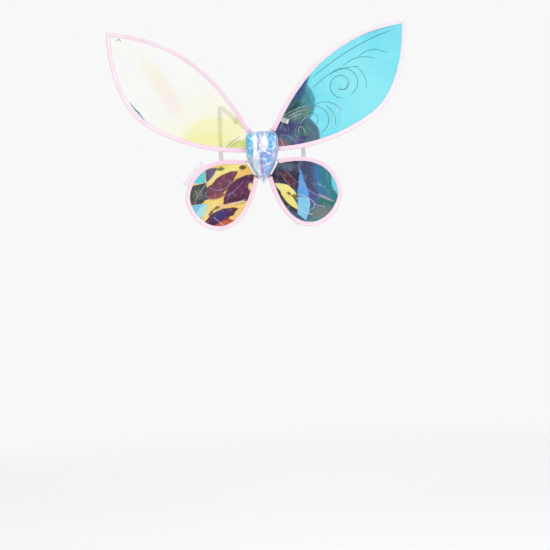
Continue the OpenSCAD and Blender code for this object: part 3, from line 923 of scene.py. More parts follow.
def make_stitches(name, wing, side, seed, material):
    """A row of short threads along the tape's edge, on both its faces."""
    place = placing(wing, side)
    path = stations(wing["spans"], 1.0)
    total = path[-1][2]
    parts = []
    at = 0

    def spot(s, face):
        """The thread's place at that length along the edge."""
        nonlocal at
        while at + 1 < len(path) - 1 and path[at + 1][2] < s:
            at += 1
        a, b = path[at], path[at + 1]
        share = (s - a[2]) / (b[2] - a[2])
        q = a[0].lerp(b[0], share) + (STITCH_IN + tape_edge(s, seed) * 0.6) * a[1].lerp(b[1], share)
        return place(q.x, q.y, face * STITCH_LIFT)

    for face in (-1, 1):
        at = 0
        s = STITCH_MARGIN
        while s < total - STITCH_MARGIN:
            ends = [spot(s + STITCH_LEN * (t - 0.5), face) for t in (0, 0.2, 0.8, 1)]
            parts.append(tube(ends, STITCH_R, 5, taper=[0.35, 1, 1, 0.35]))
            s += STITCH_PITCH
    return mesh_piece(name, *joined(parts), material)


def satin_material():
    """Pearly satin with a fine weave: pinker by the hub, whiter at one wing's tip, and pinker where it turns
    sideways at its fold, which is painted shade that leaves its front and back faces whiter as a painted
    highlight.
    """
    material, tree, where, _, tone = toned(
        "satin", 38, (254, 221, 235), (251, 235, 246), (0.32, 0.68))
    lilac = grain(tree, where, 17, 3.0)
    tone = tinted(tree, tone, lilac, 0.5, 0.72, 0.6, srgb(242, 226, 248))
    flat = place_mm(tree, flat=True)
    by_hub = oval(tree, flat, ((0, -20), (140, 140), 0), 0.7)
    pinker = mixed(tree, 0.5, tone, srgb(255, 192, 218))
    tone = mixed(tree, by_hub, tone, pinker)
    weave = grain(tree, where, 0.55, 1.0, (1, 1, 2.2))
    tone = tinted(tree, tone, weave, 0.3, 0.7, 0.3, srgb(255, 242, 248))
    # Painted shade and highlight: the tape is drawn pinker where its surface faces sideways, at its fold, and
    # stays whiter where it faces front or back.
    facing = surface_way(tree)[1]
    fold = ranged(tree, maths(tree, "ABSOLUTE", facing), 0.35, 0.9, 0.75, 0.0)
    tone = mixed(tree, fold, tone, srgb(246, 190, 212))
    tip = oval(tree, flat, ((290, 150), (190, 190), 0), 1.0)
    tone = mixed(tree, maths(tree, "MULTIPLY", tip, 0.75), tone, srgb(254, 248, 253))
    rough = ranged(tree, weave, 0.2, 0.8, 0.28, 0.46)
    cloth = principled(
        tree, base_color=tone, roughness=rough, normal=bumped(tree, weave, 0.12, 0.7),
        sheen_weight=0.5, sheen_roughness=0.35, sheen_tint=(1.0, 0.86, 0.94, 1),
        coat_weight=0.25, coat_roughness=0.3)
    return finished(material, cloth)


def thread_material():
    """Sewing thread, with faint streaks along its twist."""
    material, tree, _, twist, tone = toned(
        "thread", 0.35, (250, 226, 238), (230, 190, 212), detail=1.0, stretch=(1, 1, 3))
    thread = principled(
        tree, base_color=tone, roughness=0.5, normal=bumped(tree, twist, 0.1), sheen_weight=0.3)
    return finished(material, thread)


# ---- The two corners of film that stick out past the lower bindings ----

TABS = {
    "film_tab_left": (
        "wing_lower_left", -1, [(125, -20), (135, -5), (175, -55), (160, -62), (148, -42)]),
    "film_tab_right": ("wing_lower_right", 1, [(60, -146), (66, -157), (78, -154), (74, -145)]),
}
TAB_T = 0.5
TAB_CURL = 1.2
TAB_RINGS = 5


def make_tab(name, side, corners, material):
    """A small milky plate with a curled free edge."""
    place = placing(LOWER, side)
    outline = []
    for a, b in zip(corners, corners[1:] + corners[:1]):
        steps = max(2, round(math.dist(a, b) / 2.5))
        outline += [Vector(a).lerp(Vector(b), k / steps) for k in range(steps)]
    middle = sum(outline, Vector((0, 0))) / len(outline)
    points = []
    for face in (-0.5, 0.5):
        points.append(place(middle.x, middle.y, face * TAB_T))
        for ring in range(1, TAB_RINGS + 1):
            share = ring / TAB_RINGS
            thin = 1 if ring < TAB_RINGS else 0.4
            for p in outline:
                q = middle.lerp(p, share)
                curl = TAB_CURL * smoothstep(0.3, 1, share) * abs(wobble(q.x / 9, q.y / 9, 2.0))
                points.append(place(q.x, q.y, face * TAB_T * thin - curl))
    return mesh_piece(name, points, thin_faces(TAB_RINGS, len(outline)), material)


def milky_material():
    """Folded clear film, whitish from its many layers."""
    material, tree, _, fold, tone = toned(
        "milky_film", 6, (255, 252, 254), (250, 238, 246), (0.35, 0.7), detail=4.0)
    vinyl = principled(
        tree, base_color=tone, roughness=ranged(tree, fold, 0.3, 0.7, 0.12, 0.3),
        normal=bumped(tree, fold, 0.3), coat_weight=0.7, coat_roughness=0.08,
        thin_film_thickness=360.0, thin_film_ior=1.35)
    clear = add(tree, "BsdfTransparent", {"Color": (0.97, 0.97, 1, 1)})
    return finished(material, shaders_mixed(tree, 0.92, clear, vinyl))


# ---- Gem: a stuffed teardrop of wrinkled foil ----

# Half of its outline, from top centre to bottom centre: squarer at the top than the CAD solid, and shorter
GEM_HALF = [
    [(0, 51), (15, 51.5), (26.5, 52), (31, 44)],
    [(31, 44), (35, 36), (36, 18), (34, 6)],
    [(34, 6), (32, -12), (22, -30), (14, -41)],
    [(14, -41), (9.5, -46), (4, -47.5), (0, -47.5)],
]
GEM_CENTRE = (0, 4)
GEM_DEPTH = 16.4
GEM_GAP = 0.1
GEM_RINGS = 40
# The gathers of its top and bottom edges: height, pitch, shift along X, and where they begin and are full
GEM_GATHERS = [(1.3, 8.5, 2, 28, 50), (0.7, 6.5, 0, -34, -48)]
# How its rim rises off the hub past the upper wings' hinges
RIM_SLOPE = 0.57
RIM_FREE = 2.1
SEAM_OUT = 1.012
SEAM_DEPTH = 1.4
# Each crease: its two ends, how wide it is and how high it stands
GEM_CREASES = [
    ((-15, 48), (-18, -4), 5.5, 1.5), ((11, 48), (9, 6), 5.0, 1.4), ((-20, -4), (0, 9), 5.0, 1.5),
    ((0, 9), (21, -7), 5.0, 1.4), ((2, 8), (-3, -46), 5.5, 1.8), ((-13, 6), (-8, -45), 4.5, 1.3),
    ((19, -6), (4, -47), 5.0, 1.5), ((-32, 20), (-17, -3), 5.0, 1.2), ((33, 22), (19, -6), 5.0, 1.2),
    ((-4, 44), (-2, 10), 3.6, -1.7), ((20, 40), (26, 2), 4.5, 0.9), ((-27, 36), (-25, 4), 4.5, 0.9),
    ((-24, -14), (-9, -42), 4.0, 0.9), ((10, 8), (12, -30), 4.0, -0.9),
]


def line_distance(x, z, a, b):
    """How far a point is from the straight line between two ends."""
    dx, dz = b[0] - a[0], b[1] - a[1]
    t = ((x - a[0]) * dx + (z - a[1]) * dz) / (dx * dx + dz * dz)
    t = min(1.0, max(0.0, t))
    return math.hypot(x - a[0] - t * dx, z - a[1] - t * dz)


def gem_folds(x, z):
    """Gathers along the top and bottom edges, sharp creases and small wrinkles."""
    height = 0
    for rise, pitch, shift, begin, full in GEM_GATHERS:
        height += rise * math.cos(2 * math.pi * (x + shift) / pitch) * smoothstep(begin, full, z)
    for a, b, width, rise in GEM_CREASES:
        height += rise * max(0.0, 1 - line_distance(x, z, a, b) / width)
    return height + 0.5 * wobble(x / 5, z / 8, 3.0) + 0.25 * wobble(x / 2.2, z / 3.0, 9.0)


def gem_outline():
    """Points all round the gem, from its top centre."""
    half = []
    for span in GEM_HALF:
        half += [cubic(span, t) for t in even_parameters(span, 1.4)]
    half.append(cubic(GEM_HALF[-1], 1))
    return half + [Vector((-p.x, p.y)) for p in reversed(half[1:-1])]


def rim_lift(x, z):
    """How far the gem's edge stands off the hub, so that the upper wings swing clear behind it."""
    (x0, z0), (x1, z1) = UPPER["hinge"]
    past_hinge = abs(x) - x0 - (z0 - z) * (x1 - x0) / (z0 - z1)
    return max(0.0, RIM_SLOPE * past_hinge - RIM_FREE) * smoothstep(0, 14, z)


def gem_point(p, ring):
    """A point of the dome over outline point p; ring runs from 0 at the rim to 1 at the crown."""
    angle = math.radians(88 * ring)
    q = Vector(GEM_CENTRE) + math.cos(angle) ** 0.7 * (p - Vector(GEM_CENTRE))
    rise = GEM_DEPTH * math.sin(angle) ** 0.9
    free = smoothstep(0.0, 0.22, ring)
    lift = rim_lift(p.x, p.y) * (1 - smoothstep(0.0, 0.5, ring))
    return (q.x, RIM_Y - rise - lift - free * gem_folds(q.x, q.y), q.y)


def make_gem(material):
    """The dome of foil, and its flat back against the hub."""
    outline = gem_outline()
    sides = len(outline)
    points = [gem_point(p, ring / GEM_RINGS) for ring in range(GEM_RINGS + 1) for p in outline]
    x, z = GEM_CENTRE
    faces = ring_faces(GEM_RINGS + 1, sides)
    crown = len(points)
    points.append((x, RIM_Y - GEM_DEPTH - gem_folds(x, z), z))
    last = GEM_RINGS * sides
    faces += fan(last, sides, crown)
    back = len(points)
    for share, gap in ((1.0, 0.05), (0.97, GEM_GAP), (0.6, GEM_GAP)):
        points.extend(
            (share * p.x, RIM_Y - gap - rim_lift(p.x, p.y), z + share * (p.y - z)) for p in outline)
    points.append((x, RIM_Y - GEM_GAP, z))
    faces.extend((k, (k + 1) % sides, back + (k + 1) % sides, back + k) for k in range(sides))
    faces.extend(ring_faces(3, sides, start=back))
    faces += fan(back + 2 * sides, sides, len(points) - 1)
    return mesh_piece("gem", points, faces, material)


def make_gem_seam(material):
    """The welded edge where the foil's front and back meet."""
    low = GEM_CENTRE[1]
    centres = [
        Vector((p.x * SEAM_OUT, RIM_Y - SEAM_DEPTH - rim_lift(p.x, p.y), low + (p.y - low) * SEAM_OUT))
        for p in gem_outline()]
    sizes = [0.7 + 0.15 * wobble(c.x / 3, c.z / 3, 1.0) for c in centres]
    return mesh_piece("gem_seam", *loop_tube(centres, sizes), material)


# Each patch is as in FILM_PATCHES; the white and near-white patches, and the thin pale leaves along the
# creases, are painted highlights on the foil.
GEM_PATCHES = [
    ("oval", ((-26, 22), (8, 26), 5), (96, 200, 244), 0.12),
    ("oval", ((20, 30), (9, 20), -10), (92, 182, 240), 0.12),
    ("leaf", ((-14, 22), (34, 5), 88), (252, 255, 255), 0.15),
    ("oval", ((-6, 28), (4, 20), 0), (164, 172, 232), 0.25),
    ("leaf", ((5, 23), (20, 8), 80, 0.1), (254, 255, 255), 0.12),
    ("leaf", ((8, 42), (10, 2), 85), (250, 252, 255), 0.3),
    ("oval", ((10, 1), (16, 8), 10), (134, 166, 234), 0.3),
    ("leaf", ((-12, -4), (12, 7), 60), (250, 252, 255), 0.2),
    ("leaf", ((14, -25), (21, 13), 72), (112, 188, 244), 0.12),
    ("oval", ((0, -27), (4, 19), 0), (168, 150, 230), 0.25),
    ("leaf", ((-12, -27), (20, 7), 100), (232, 246, 248), 0.15),
    ("oval", ((-25, -12), (6, 10), 10), (194, 196, 240), 0.3),
    ("leaf", ((9, 6), (14, 1), -30), (226, 240, 255), 0.4),
    ("leaf", ((-10, 2), (10, 1.6), 45), (250, 253, 255), 0.3),
    ("leaf", ((24, -4), (9, 1.5), 60), (250, 253, 255), 0.3),
    ("leaf", ((13, -20), (15, 1.5), 20), (236, 246, 255), 0.3),
    ("leaf", ((9, -29), (10, 1.2), 40), (226, 240, 255), 0.3),
    ("leaf", ((-22, -4), (12, 1.3), -30), (238, 246, 255), 0.3),
]


def gem_material():
    """Crinkled foil: patches of blue and lilac, painted white highlights as glints, painted highlights that
    make it paler along its creases, and a painted sheen that turns it lilac or cyan by the side it faces.
    """
    material, tree = new_tree("gem_foil")
    where = place_mm(tree, flat=True)
    moved = warped(tree, where, 9, 5)
    colour = painted(tree, moved, srgb(166, 206, 246), GEM_PATCHES)
    from_rim = add(tree, "TexVoronoi", {
        "Vector": grain_place(tree, moved, 9, (1.25, 1, 0.7)), "Scale": 1.0,
    }, feature="DISTANCE_TO_EDGE").outputs["Distance"]
    # Painted highlight: the foil is drawn up to 0.45 whiter along the edges of its crinkle cells, where its
    # creases catch the light.
    crease = ranged(tree, from_rim, 0.0, 0.09, 1.0, 0.0)
    colour = mixed(tree, maths(tree, "MULTIPLY", crease, 0.45), colour, WHITE)
    # Painted sheen: faces that turn towards +X are drawn lilac and faces that turn towards -X cyan, a colour
    # shift that follows how light falls on the foil.
    lean = surface_way(tree)[0]
    colour = tinted(tree, colour, lean, 0.3, 0.8, 0.4, srgb(196, 184, 240))
    colour = tinted(tree, colour, lean, -0.3, -0.8, 0.4, srgb(150, 226, 248))
    crinkle = grain(tree, where, 3.2, 4.0)
    relief = maths(tree, "SUBTRACT", maths(tree, "MULTIPLY", crinkle, 0.5), from_rim)
    foil = principled(
        tree, base_color=colour, metallic=0.3, normal=bumped(tree, relief, 1.1),
        roughness=ranged(tree, crinkle, 0.3, 0.7, 0.1, 0.26),
        coat_weight=0.8, coat_roughness=0.05, thin_film_thickness=450.0, thin_film_ior=1.4)
    return finished(material, foil)


TIP = [(-12, -43), (12, -43), (0.4, -61.8)]
TIP_BACK = -13.6
TIP_ROWS = 14
TIP_COLUMNS = 10
# The welds of its two long sides, with their depth
TIP_WELDS = (
    [(-12, -14.3, -43), (-6, -14.4, -52.8), (0.2, -14.4, -61.6)],
    [(12, -14.3, -43), (6.4, -14.4, -52.8), (0.4, -14.4, -61.6)],
)
WELD_R = 0.95


def tip_material():
    """Clear vinyl gone milky: greyer in the middle than along its welded edges."""
    material, tree = new_tree("tip_vinyl")
    where = place_mm(tree, flat=True)
    fold = grain(tree, where, 4, 4.0)
    tone = painted(tree, where, srgb(238, 236, 247), [
        ("plate", [(-9.5, -43), (9.5, -43), (0.3, -57.5)], (172, 186, 220), 0.8),
        ("leaf", ((-1, -48), (8, 2.2), 60), (246, 246, 252), 0.4),
    ])
    tone = tinted(tree, tone, fold, 0.45, 0.7, 0.4, srgb(226, 216, 238))
    vinyl = principled(
        tree, base_color=tone, roughness=ranged(tree, fold, 0.3, 0.7, 0.1, 0.26),
        normal=bumped(tree, fold, 0.4), coat_weight=0.8, coat_roughness=0.06)
    return finished(material, vinyl)


def make_tip(material):
    """A pointed tab of folded film with a welded edge on its two long sides."""
    points = []
    for face in (0, 1):
        for i in range(TIP_ROWS + 1):
            v = i / TIP_ROWS
            left = Vector(TIP[0]).lerp(Vector(TIP[2]), v * 0.985)
            right = Vector(TIP[1]).lerp(Vector(TIP[2]), v * 0.985)
            for k in range(TIP_COLUMNS + 1):
                u = k / TIP_COLUMNS
                p = left.lerp(right, u)
                ridge = 0.7 * (1 - abs(2 * u - 1)) * (1 - v)
                dent = 0.25 * wobble(p.x / 3, p.y / 3, 4.0)
                points.append((p.x, TIP_BACK if face else RIM_Y - ridge - dent, p.y))
    row = TIP_COLUMNS + 1
    layer = row * (TIP_ROWS + 1)
    faces = []
    for start in (0, layer):
        faces += ring_faces(TIP_ROWS + 1, row, closed_ring=False, start=start)
    border = list(range(row))
    border += [i * row + TIP_COLUMNS for i in range(1, TIP_ROWS + 1)]
    border += [TIP_ROWS * row + k for k in range(TIP_COLUMNS - 1, -1, -1)]
    border += [i * row for i in range(TIP_ROWS - 1, 0, -1)]
    for a, b in zip(border, border[1:] + border[:1]):
        faces.append((a, b, layer + b, layer + a))
    parts = [(points, faces)] + [tube(smooth_path(weld, 1.0), WELD_R, 8) for weld in TIP_WELDS]
    return mesh_piece("tip", *joined(parts), material)


# ---- Back pad ----

QUILT_PITCH = 15
QUILT_HALF = 2.6
QUILT_DEPTH = 0.9
PIPING_R = 1.0


def pad_outline(count):
    """A rounded rectangle, evenly spaced."""
    dense = []
    for start, x_side, z_side in ((0, 1, 1), (90, -1, 1), (180, -1, -1), (270, 1, -1)):
        for k in range(24):
            a = math.radians(start + 90 * k / 23)
            dense.append(Vector((
                x_side * (PAD_W / 2 - PAD_R) + PAD_R * math.cos(a),
                z_side * (PAD_H / 2 - PAD_R) + PAD_R * math.sin(a))))
    closed = dense + dense[:1]
    places = evenly(lengths_along(closed), count)
    return [closed[at].lerp(closed[at + 1], share) for at, share in places]


def quilt(x, z):
    """How deep the stitched diamond channels are, from 0 to 1."""
    groove = 0.0
    for turn in (1, -1):
        across = (x + turn * z * 0.8) / QUILT_PITCH
        groove = max(groove, 1 - abs(across - round(across)) * QUILT_PITCH / QUILT_HALF)
    return max(0.0, groove)


def make_pad(material):
    """A thin foam cushion: quilted on the wearer's side, drawn in to its seam all round."""
    outline = pad_outline(120)
    # Each ring: its share of the outline, and how far back it lies, from 0 to 1
    profile = [(k / 16, 0.0) for k in range(1, 14)]
    profile += [(0.88, 0.02), (0.94, 0.12), (0.985, 0.3), (1.0, 0.5)]
    profile += [(0.985, 0.72), (0.94, 0.9), (0.88, 0.98)]
    profile += [(k / 16, 1.0) for k in range(13, 0, -1)]
    points = [(0, -0.1 - QUILT_DEPTH * quilt(0, 0), 0)]
    for share, back in profile:
        front = 1 - smoothstep(0.0, 0.05, back)
        plain = 1 - smoothstep(0.8, 0.9, share)
        for p in outline:
            x, z = share * p.x, share * p.y
            sunk = QUILT_DEPTH * quilt(x, z) * plain + 0.15 * share ** 4
            points.append((x, -0.05 - back * (PAD_T - 0.1) - front * sunk, z))
    sides = len(outline)
    faces = fan(1, sides, 0) + ring_faces(len(profile), sides, start=1)
    points.append((0, -PAD_T + 0.05, 0))
    faces += fan(1 + (len(profile) - 1) * sides, sides, len(points) - 1)
    return mesh_piece("pad", points, faces, material)


def make_pad_seam(material):
    """Piping round the pad, where its two fabric faces are sewn together."""
    centres = [Vector((p.x * 0.992, -PAD_T / 2, p.y * 0.994)) for p in pad_outline(150)]
    sizes = [PIPING_R + 0.08 * math.sin(i * 2.1) for i in range(len(centres))]
    return mesh_piece("pad_piping", *loop_tube(centres, sizes), material)


def tricot_material():
    """Brushed knitted fabric with a short nap."""
    material, tree, where, _, tone = toned("tricot", 16, (246, 206, 222), (250, 218, 230))
    nap = grain(tree, where, 0.7, 2.0, (1, 1, 1.6))
    tone = tinted(tree, tone, nap, 0.3, 0.7, 0.35, srgb(232, 182, 204))
    cloth = principled(
        tree, base_color=tone, roughness=0.85, normal=bumped(tree, nap, 0.25),
        sheen_weight=0.6, sheen_roughness=0.5)
    return finished(material, cloth)


# ---- Straps ----

RIB_SIDES = 16
LOOP_R = 1.9
LOOP_INNER = 1.36
LOOP_TURNS = 28
TACK_LIFT = 0.62
TACK_R = 0.2
TACK_ROWS = 3
TACK_SIDE = 4
# In shares of half the elastic's width
TACK_PITCH = 0.21
TACK_HALF = 0.07


def ribbed(v, height):
    """Across the elastic, v from -1 to 1: how full it is, less at its soft edges, and its ribs there."""
    full = math.sqrt(max(0.0, 1 - abs(v) ** 6))
    return full, height * math.cos(v * math.pi * 4)


def strap_frames():
    """Point, outward and across directions along the right-hand elastic, as the CAD draws it."""
    route = [(Vector(p), Vector(f)) for p, f in STRAP_ROUTE]
    last = len(route) - 1

    def tangent(i, span):
        """The way through route point i, as long as that span's chord."""
        chord = (route[span + 1][0] - route[span][0]).length
        if i in (STRAP_STRAIGHT, STRAP_STRAIGHT + 1):
            d = route[STRAP_STRAIGHT + 1][0] - route[STRAP_STRAIGHT][0]
        elif i == 0:
            d = Vector((1, 0, 0))
        elif i == last:
            d = Vector((-1, 0, 0))
        else:
            d = route[i + 1][0] - route[i - 1][0]
        return chord * d.normalized()

    frames = []
    for i in range(last):
        a, b = route[i][0], route[i + 1][0]
        ta, tb = tangent(i, i), tangent(i + 1, i)
        steps = max(4, round((b - a).length / 2.2))
        for k in range(steps + (i == last - 1)):
            t = k / steps
            p = ((2 * t ** 3 - 3 * t * t + 1) * a + (t ** 3 - 2 * t * t + t) * ta
                 + (3 * t * t - 2 * t ** 3) * b + (t ** 3 - t * t) * tb)
            d = ((6 * t * t - 6 * t) * a + (3 * t * t - 4 * t + 1) * ta
                 + (6 * t - 6 * t * t) * b + (3 * t * t - 2 * t) * tb).normalized()
            face = (1 - t) * route[i][1] + t * route[i + 1][1]
            out = (face - face.dot(d) * d).normalized()
            frames.append((p, out, d.cross(out)))
    return frames


def make_strap(name, side, material):
    """Ribbed elastic with a rounded edge, and its two ends sewn into loops round the pin."""
    frames = strap_frames()
    points = []
    for p, out, across in frames:
        row = []
        for face in (1, -1):
            for k in range(RIB_SIDES + 1):
                u = (k / RIB_SIDES * 2 - 1) * face
                full, rib = ribbed(u, 0.10)
                half = STRAP_T / 2 * (0.35 + 0.55 * full) + rib * full
                row.append(p + u * STRAP_W / 2 * across + face * half * out)
        points += [(side * q.x, q.y, q.z) for q in row]
    parts = [(points, capped_faces(len(frames), 2 * (RIB_SIDES + 1)))]
    parts += [strap_loop(side, z) for z in (-ANCHOR_Z, ANCHOR_Z)]
    return mesh_piece(name, *joined(parts), material)


def strap_loop(side, z):
    """The rolled end of the elastic round its pin, with ribs along it and soft edges."""
    section = []
    for k in range(RIB_SIDES + 1):
        v = k / RIB_SIDES * 2 - 1
        full, rib = ribbed(v, 0.08)
        section.append((LOOP_R + 0.55 * full + rib * full, v * STRAP_W / 2))
    section += [(LOOP_INNER, STRAP_W / 2 * v) for v in (0.96, 0.5, 0, -0.5, -0.96)]
    points = []
    for i in range(LOOP_TURNS):
        a = 2 * math.pi * i / LOOP_TURNS
        for r, h in section:
            points.append((side * PIN[0] + r * math.cos(a), PIN[1] + r * math.sin(a), z + h))
    return points, wrapped_faces(LOOP_TURNS, len(section))


def make_bar_tacks(name, side, material):
    """Rows of dense stitching that close the strap's two end loops."""
    frames = strap_frames()
    parts = []
    for start, step in ((3, 1), (len(frames) - 4, -1)):
        for row in range(TACK_ROWS):
            p, out, across = frames[start + step * row]
            for k in range(-TACK_SIDE, TACK_SIDE + 1):
                u = TACK_PITCH * k
                for face in (1, -1):
                    a, b = (p + (u + end) * STRAP_W / 2 * across + face * TACK_LIFT * out
                            for end in (-TACK_HALF, TACK_HALF))
                    ends = [(side * q.x, q.y, q.z) for q in (a, a.lerp(b, 0.5), b)]
                    parts.append(tube(ends, TACK_R, 5, taper=[0.5, 1, 0.5]))
    return mesh_piece(name, *joined(parts), material)


def elastic_material():
    """Knitted elastic with small stitches."""
    material, tree, where, _, tone = toned("elastic", 24, (250, 246, 248), (255, 253, 254))
    knit = add(tree, "TexVoronoi", {"Vector": where, "Scale": 1.1}).outputs["Distance"]
    tone = tinted(tree, tone, knit, 0.15, 0.6, 0.5, srgb(232, 222, 230))
    cloth = principled(
        tree, base_color=tone, roughness=0.7, normal=bumped(tree, knit, 0.35),
        sheen_weight=0.35, sheen_roughness=0.4)
    return finished(material, cloth)


# ---- Hard parts ----

# Faces that meet at less than the first are one face, and at more than the second make an edge to round
FLAT_ANGLE = math.radians(2)
EDGE_ANGLE = math.radians(35)


def softened(name, node, width, material):
    """A copy of a CAD node with its sharp edges rounded, to stand for it."""
    work = bmesh.new()
    work.from_mesh(NODES[node].data)
    bmesh.ops.remove_doubles(work, verts=work.verts, dist=5 * SAME)
    bmesh.ops.dissolve_limit(work, angle_limit=FLAT_ANGLE, verts=work.verts, edges=work.edges)
    mesh = bpy.data.meshes.new(name)
    work.to_mesh(mesh)
    work.free()
    mesh.materials.clear()
    mesh.materials.append(material)
    obj = linked(name, mesh)
    bevel = obj.modifiers.new("round", "BEVEL")
    bevel.width = width * MM
    bevel.segments = 3
    bevel.limit_method = "ANGLE"
    bevel.angle_limit = EDGE_ANGLE
    bevel.harden_normals = True
    for face in mesh.polygons:
        face.use_smooth = True
    return obj


def plastic_material(name, pale, deep, rough):
    """Moulded plastic: faint flow marks and a fine spark texture."""
    material, tree, where, _, tone = toned(name, 11, pale, deep, stretch=(1, 1, 0.4))
    spark = grain(tree, where, 0.5, 2.0)
    body = principled(
        tree, base_color=tone, roughness=ranged(tree, spark, 0.25, 0.75, rough - 0.08, rough + 0.08),
        normal=bumped(tree, spark, 0.04), subsurface_weight=0.12, subsurface_scale=0.004)
    return finished(material, body)


def steel_material(name, pale, deep, stretch):
    """Drawn metal: fine scratches along it and faint stains."""
    material, tree, where, _, tone = toned(name, 7, pale, deep, (0.35, 0.7), detail=3.0)
    scratch = grain(tree, where, 0.6, 3.0, stretch)
    metal = principled(
        tree, base_color=tone, metallic=1.0, normal=bumped(tree, scratch, 0.03),
        roughness=ranged(tree, scratch, 0.25, 0.75, 0.22, 0.42))
    return finished(material, metal)


def dress_node(name, material):
    """Gives a carried-over CAD node its material."""
    obj = NODES[name]
    if not obj.data.materials:
        obj.data.materials.append(material)
    for holder in obj.material_slots:
        holder.material = material


# ---- Camera, floor and light ----

CAMERA_AIM = (15.4, -20, -260.2)
CAMERA_AWAY = 4500
CAMERA_ROLL = 2.76
FIELD_W = 1188
FLOOR_Z = -850
FLOOR_R = 6000


def add_camera():
    """Far in front of the wings, level, and rolled about its own axis."""
    data = bpy.data.cameras.new("camera")
    data.sensor_width = 36
    data.lens = 36 * CAMERA_AWAY / FIELD_W
    data.clip_end = 100
    camera = linked("camera", data)
    roll = math.radians(CAMERA_ROLL)
    right = Vector((math.cos(roll), 0, -math.sin(roll)))
    up = Vector((math.sin(roll), 0, math.cos(roll)))
    turn = Matrix((right, up, right.cross(up))).transposed().to_4x4()
    x, y, z = CAMERA_AIM
    camera.matrix_world = Matrix.Translation(Vector((x, y - CAMERA_AWAY, z)) * MM) @ turn
    scene.camera = camera


def add_floor():
    """A pale floor that fades out far from the object, so that no horizon shows."""
    material, tree = new_tree("floor")
    where = place_mm(tree)
    speck = grain(tree, where, 60, 3.0)
    tone = mixed(tree, speck, srgb(242, 242, 243), srgb(247, 247, 247))
    paint = principled(
        tree, base_color=tone, roughness=0.8, emission_color=WHITE, emission_strength=0.13)
    gone = ranged(tree, length_of(tree, where), 900, 3600)
    clear = add(tree, "BsdfTransparent")
    finished(material, shaders_mixed(tree, gone, paint, clear))
    rings = 24
    sides = 64
    points = [(0, 0, FLOOR_Z)]
    for ring in range(1, rings + 1):
        r = FLOOR_R * ring / rings
        angles = [2 * math.pi * k / sides for k in range(sides)]
        points += [(r * math.cos(a), r * math.sin(a), FLOOR_Z) for a in angles]
    faces = fan(1, sides, 0)
    faces += [tuple(reversed(face)) for face in ring_faces(rings, sides, start=1)]
    floor = mesh_piece("floor", points, faces, material, recalc=False)


def add_area(name, position, size, power, colour):
    """A soft lamp that faces the wings."""
    data = bpy.data.lights.new(name, "AREA")
    data.shape = "RECTANGLE"
    data.size, data.size_y = (s * MM for s in size)
    data.energy = power
    data.color = colour
    lamp = linked(name, data)
    place = Vector(position) * MM
    aim = Vector((0, 0, 60)) * MM
    lamp.rotation_euler = (aim - place).to_track_quat("-Z", "Y").to_euler()
    lamp.location = place


def add_world():
    """Plain near-white to the camera; to everything else a soft studio, darker below and behind."""
    world = bpy.data.worlds.new("world")
    scene.world = world
    world.use_nodes = True
    tree = world.node_tree
    tree.nodes.clear()
    way = add(tree, "TexCoord").outputs["Generated"]
    height = add(tree, "SeparateXYZ", {0: way}).outputs[2]
    soft = grain(tree, way, 0.7, 1.0)
    shade = ranged(tree, height, -1, 1, 0.35, 0.6)
    level = maths(tree, "ADD", shade, ranged(tree, soft, 0.4, 0.62, -0.08, 0.3))
    studio = add(tree, "Background", {"Color": (0.97, 0.98, 1.0, 1), "Strength": level})
    plain = add(tree, "Background", {"Color": (0.94, 0.94, 0.945, 1), "Strength": 1.0})
    seen = add(tree, "LightPath").outputs["Is Camera Ray"]
    mix = shaders_mixed(tree, seen, studio, plain)
    add(tree, "OutputWorld", {"Surface": mix.outputs[0]})


add_camera()
add_floor()
add_world()
add_area("key", (-1500, -2300, 1700), (1300, 1300), 26, (1.0, 0.99, 0.97))
add_area("fill", (2100, -1900, 500), (1500, 1500), 13, (0.96, 0.98, 1.0))
add_area("back", (300, 2200, 1500), (1700, 1000), 14, (1.0, 1.0, 1.0))
add_area("strip", (900, -2600, 1500), (260, 1500), 8, (1.0, 1.0, 1.0))
scene.view_settings.view_transform = "Standard"


def attach(piece, body, slot, *replaced):
    """Makes a piece ride on a body and stand for CAD nodes, which it hides; its slot is not used."""
    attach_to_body(piece, body)
    if replaced:
        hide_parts(*replaced)
    return piece


# ---- The wings ----

satin = satin_material()
thread = thread_material()
milky = milky_material()
inks = {kind: print_material(kind) for kind in PRINT_COLOURS}

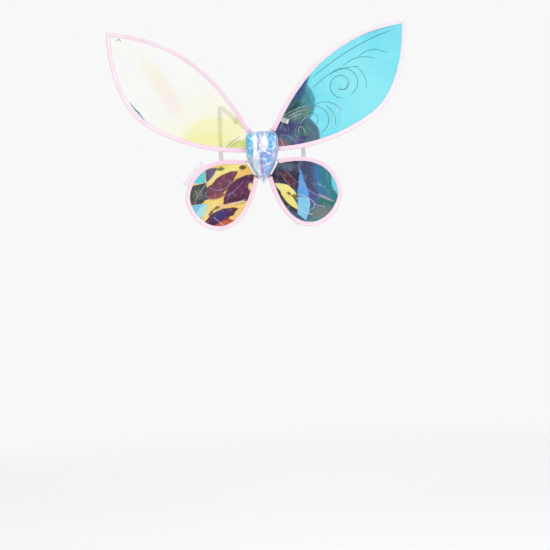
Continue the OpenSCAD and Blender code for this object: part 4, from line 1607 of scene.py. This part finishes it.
for level, wing in (("upper", UPPER), ("lower", LOWER)):
    for hand, side in SIDES:
        tag = level + "_" + hand
        body = "wing_" + tag
        seed = 10.0 * side + (3.0 if level == "upper" else 6.0)
        node = "film_" + tag
        film = Film(wing, side, seed)
        sheet = make_film("sheet_" + tag, film, film_material(node))
        attach(sheet, body, node, node)
        for kind in PRINT_COLOURS:
            lines = [(width, route) for ink, width, route in PRINTS[node] if ink == kind]
            if lines:
                swirl = make_print("print_" + kind + "_" + tag, film, lines, inks[kind])
                attach(swirl, body, node)
        tape = make_binding("tape_" + tag, wing, side, seed, satin)
        attach(tape, body, "binding_tape", "binding_" + tag)
        sewing = make_stitches("stitches_" + tag, wing, side, seed, thread)
        attach(sewing, body, "binding_tape")
        cut = tape_cut(wing)

for name, (body, side, corners) in TABS.items():
    attach(make_tab(name, side, corners, milky), body, "film_" + body[5:])

# ---- The hub ----

gem = make_gem(gem_material())
attach(gem, "hub", "gem_foil", "gem_cover", "gem_padding")
attach(make_gem_seam(milky), "hub", "gem_foil")
attach(make_tip(tip_material()), "hub", "tip_vinyl", "gem_tip")

pad = make_pad(tricot_material())
attach(pad, "hub", "pad_fabric", "pad_cover", "back_pad")
attach(make_pad_seam(satin), "hub", "pad_fabric")

hub_plastic = plastic_material("hub_plastic", (238, 236, 240), (228, 226, 232), 0.4)
for half in ("base", "clamp"):
    node = "hub_" + half
    attach(softened("plate_" + half, node, 0.5, hub_plastic), "hub", "hub_plastic", node)
screw_steel = steel_material("screw_steel", (188, 190, 196), (160, 162, 168), (1, 4, 1))
pin_steel = steel_material("pin_steel", (204, 205, 210), (176, 178, 184), (3, 3, 0.3))
sleeve_steel = steel_material("sleeve_steel", (186, 186, 190), (150, 150, 156), (2, 2, 0.5))
wire_steel = steel_material("wire_steel", (176, 177, 182), (138, 139, 146), (2, 2, 0.5))
dress_node("hub_screws", screw_steel)
for hand, _ in SIDES:
    dress_node("strap_pin_" + hand, pin_steel)
    for level in ("upper", "lower"):
        dress_node("sleeve_" + level + "_" + hand, sleeve_steel)
        dress_node("wire_" + level + "_" + hand, wire_steel)

# ---- The straps ----

elastic = elastic_material()
acetal = plastic_material("acetal", (240, 238, 220), (232, 228, 208), 0.22)
for hand, side in SIDES:
    loop = "strap_loop_" + hand
    attach(make_strap("elastic_" + hand, side, elastic), loop, "strap_elastic", "strap_" + hand)
    attach(make_bar_tacks("bar_tacks_" + hand, side, thread), loop, "strap_elastic")
    node = "slider_" + hand
    attach(softened("buckle_" + hand, node, 0.3, acetal), "strap_" + node, "slider_plastic", node)
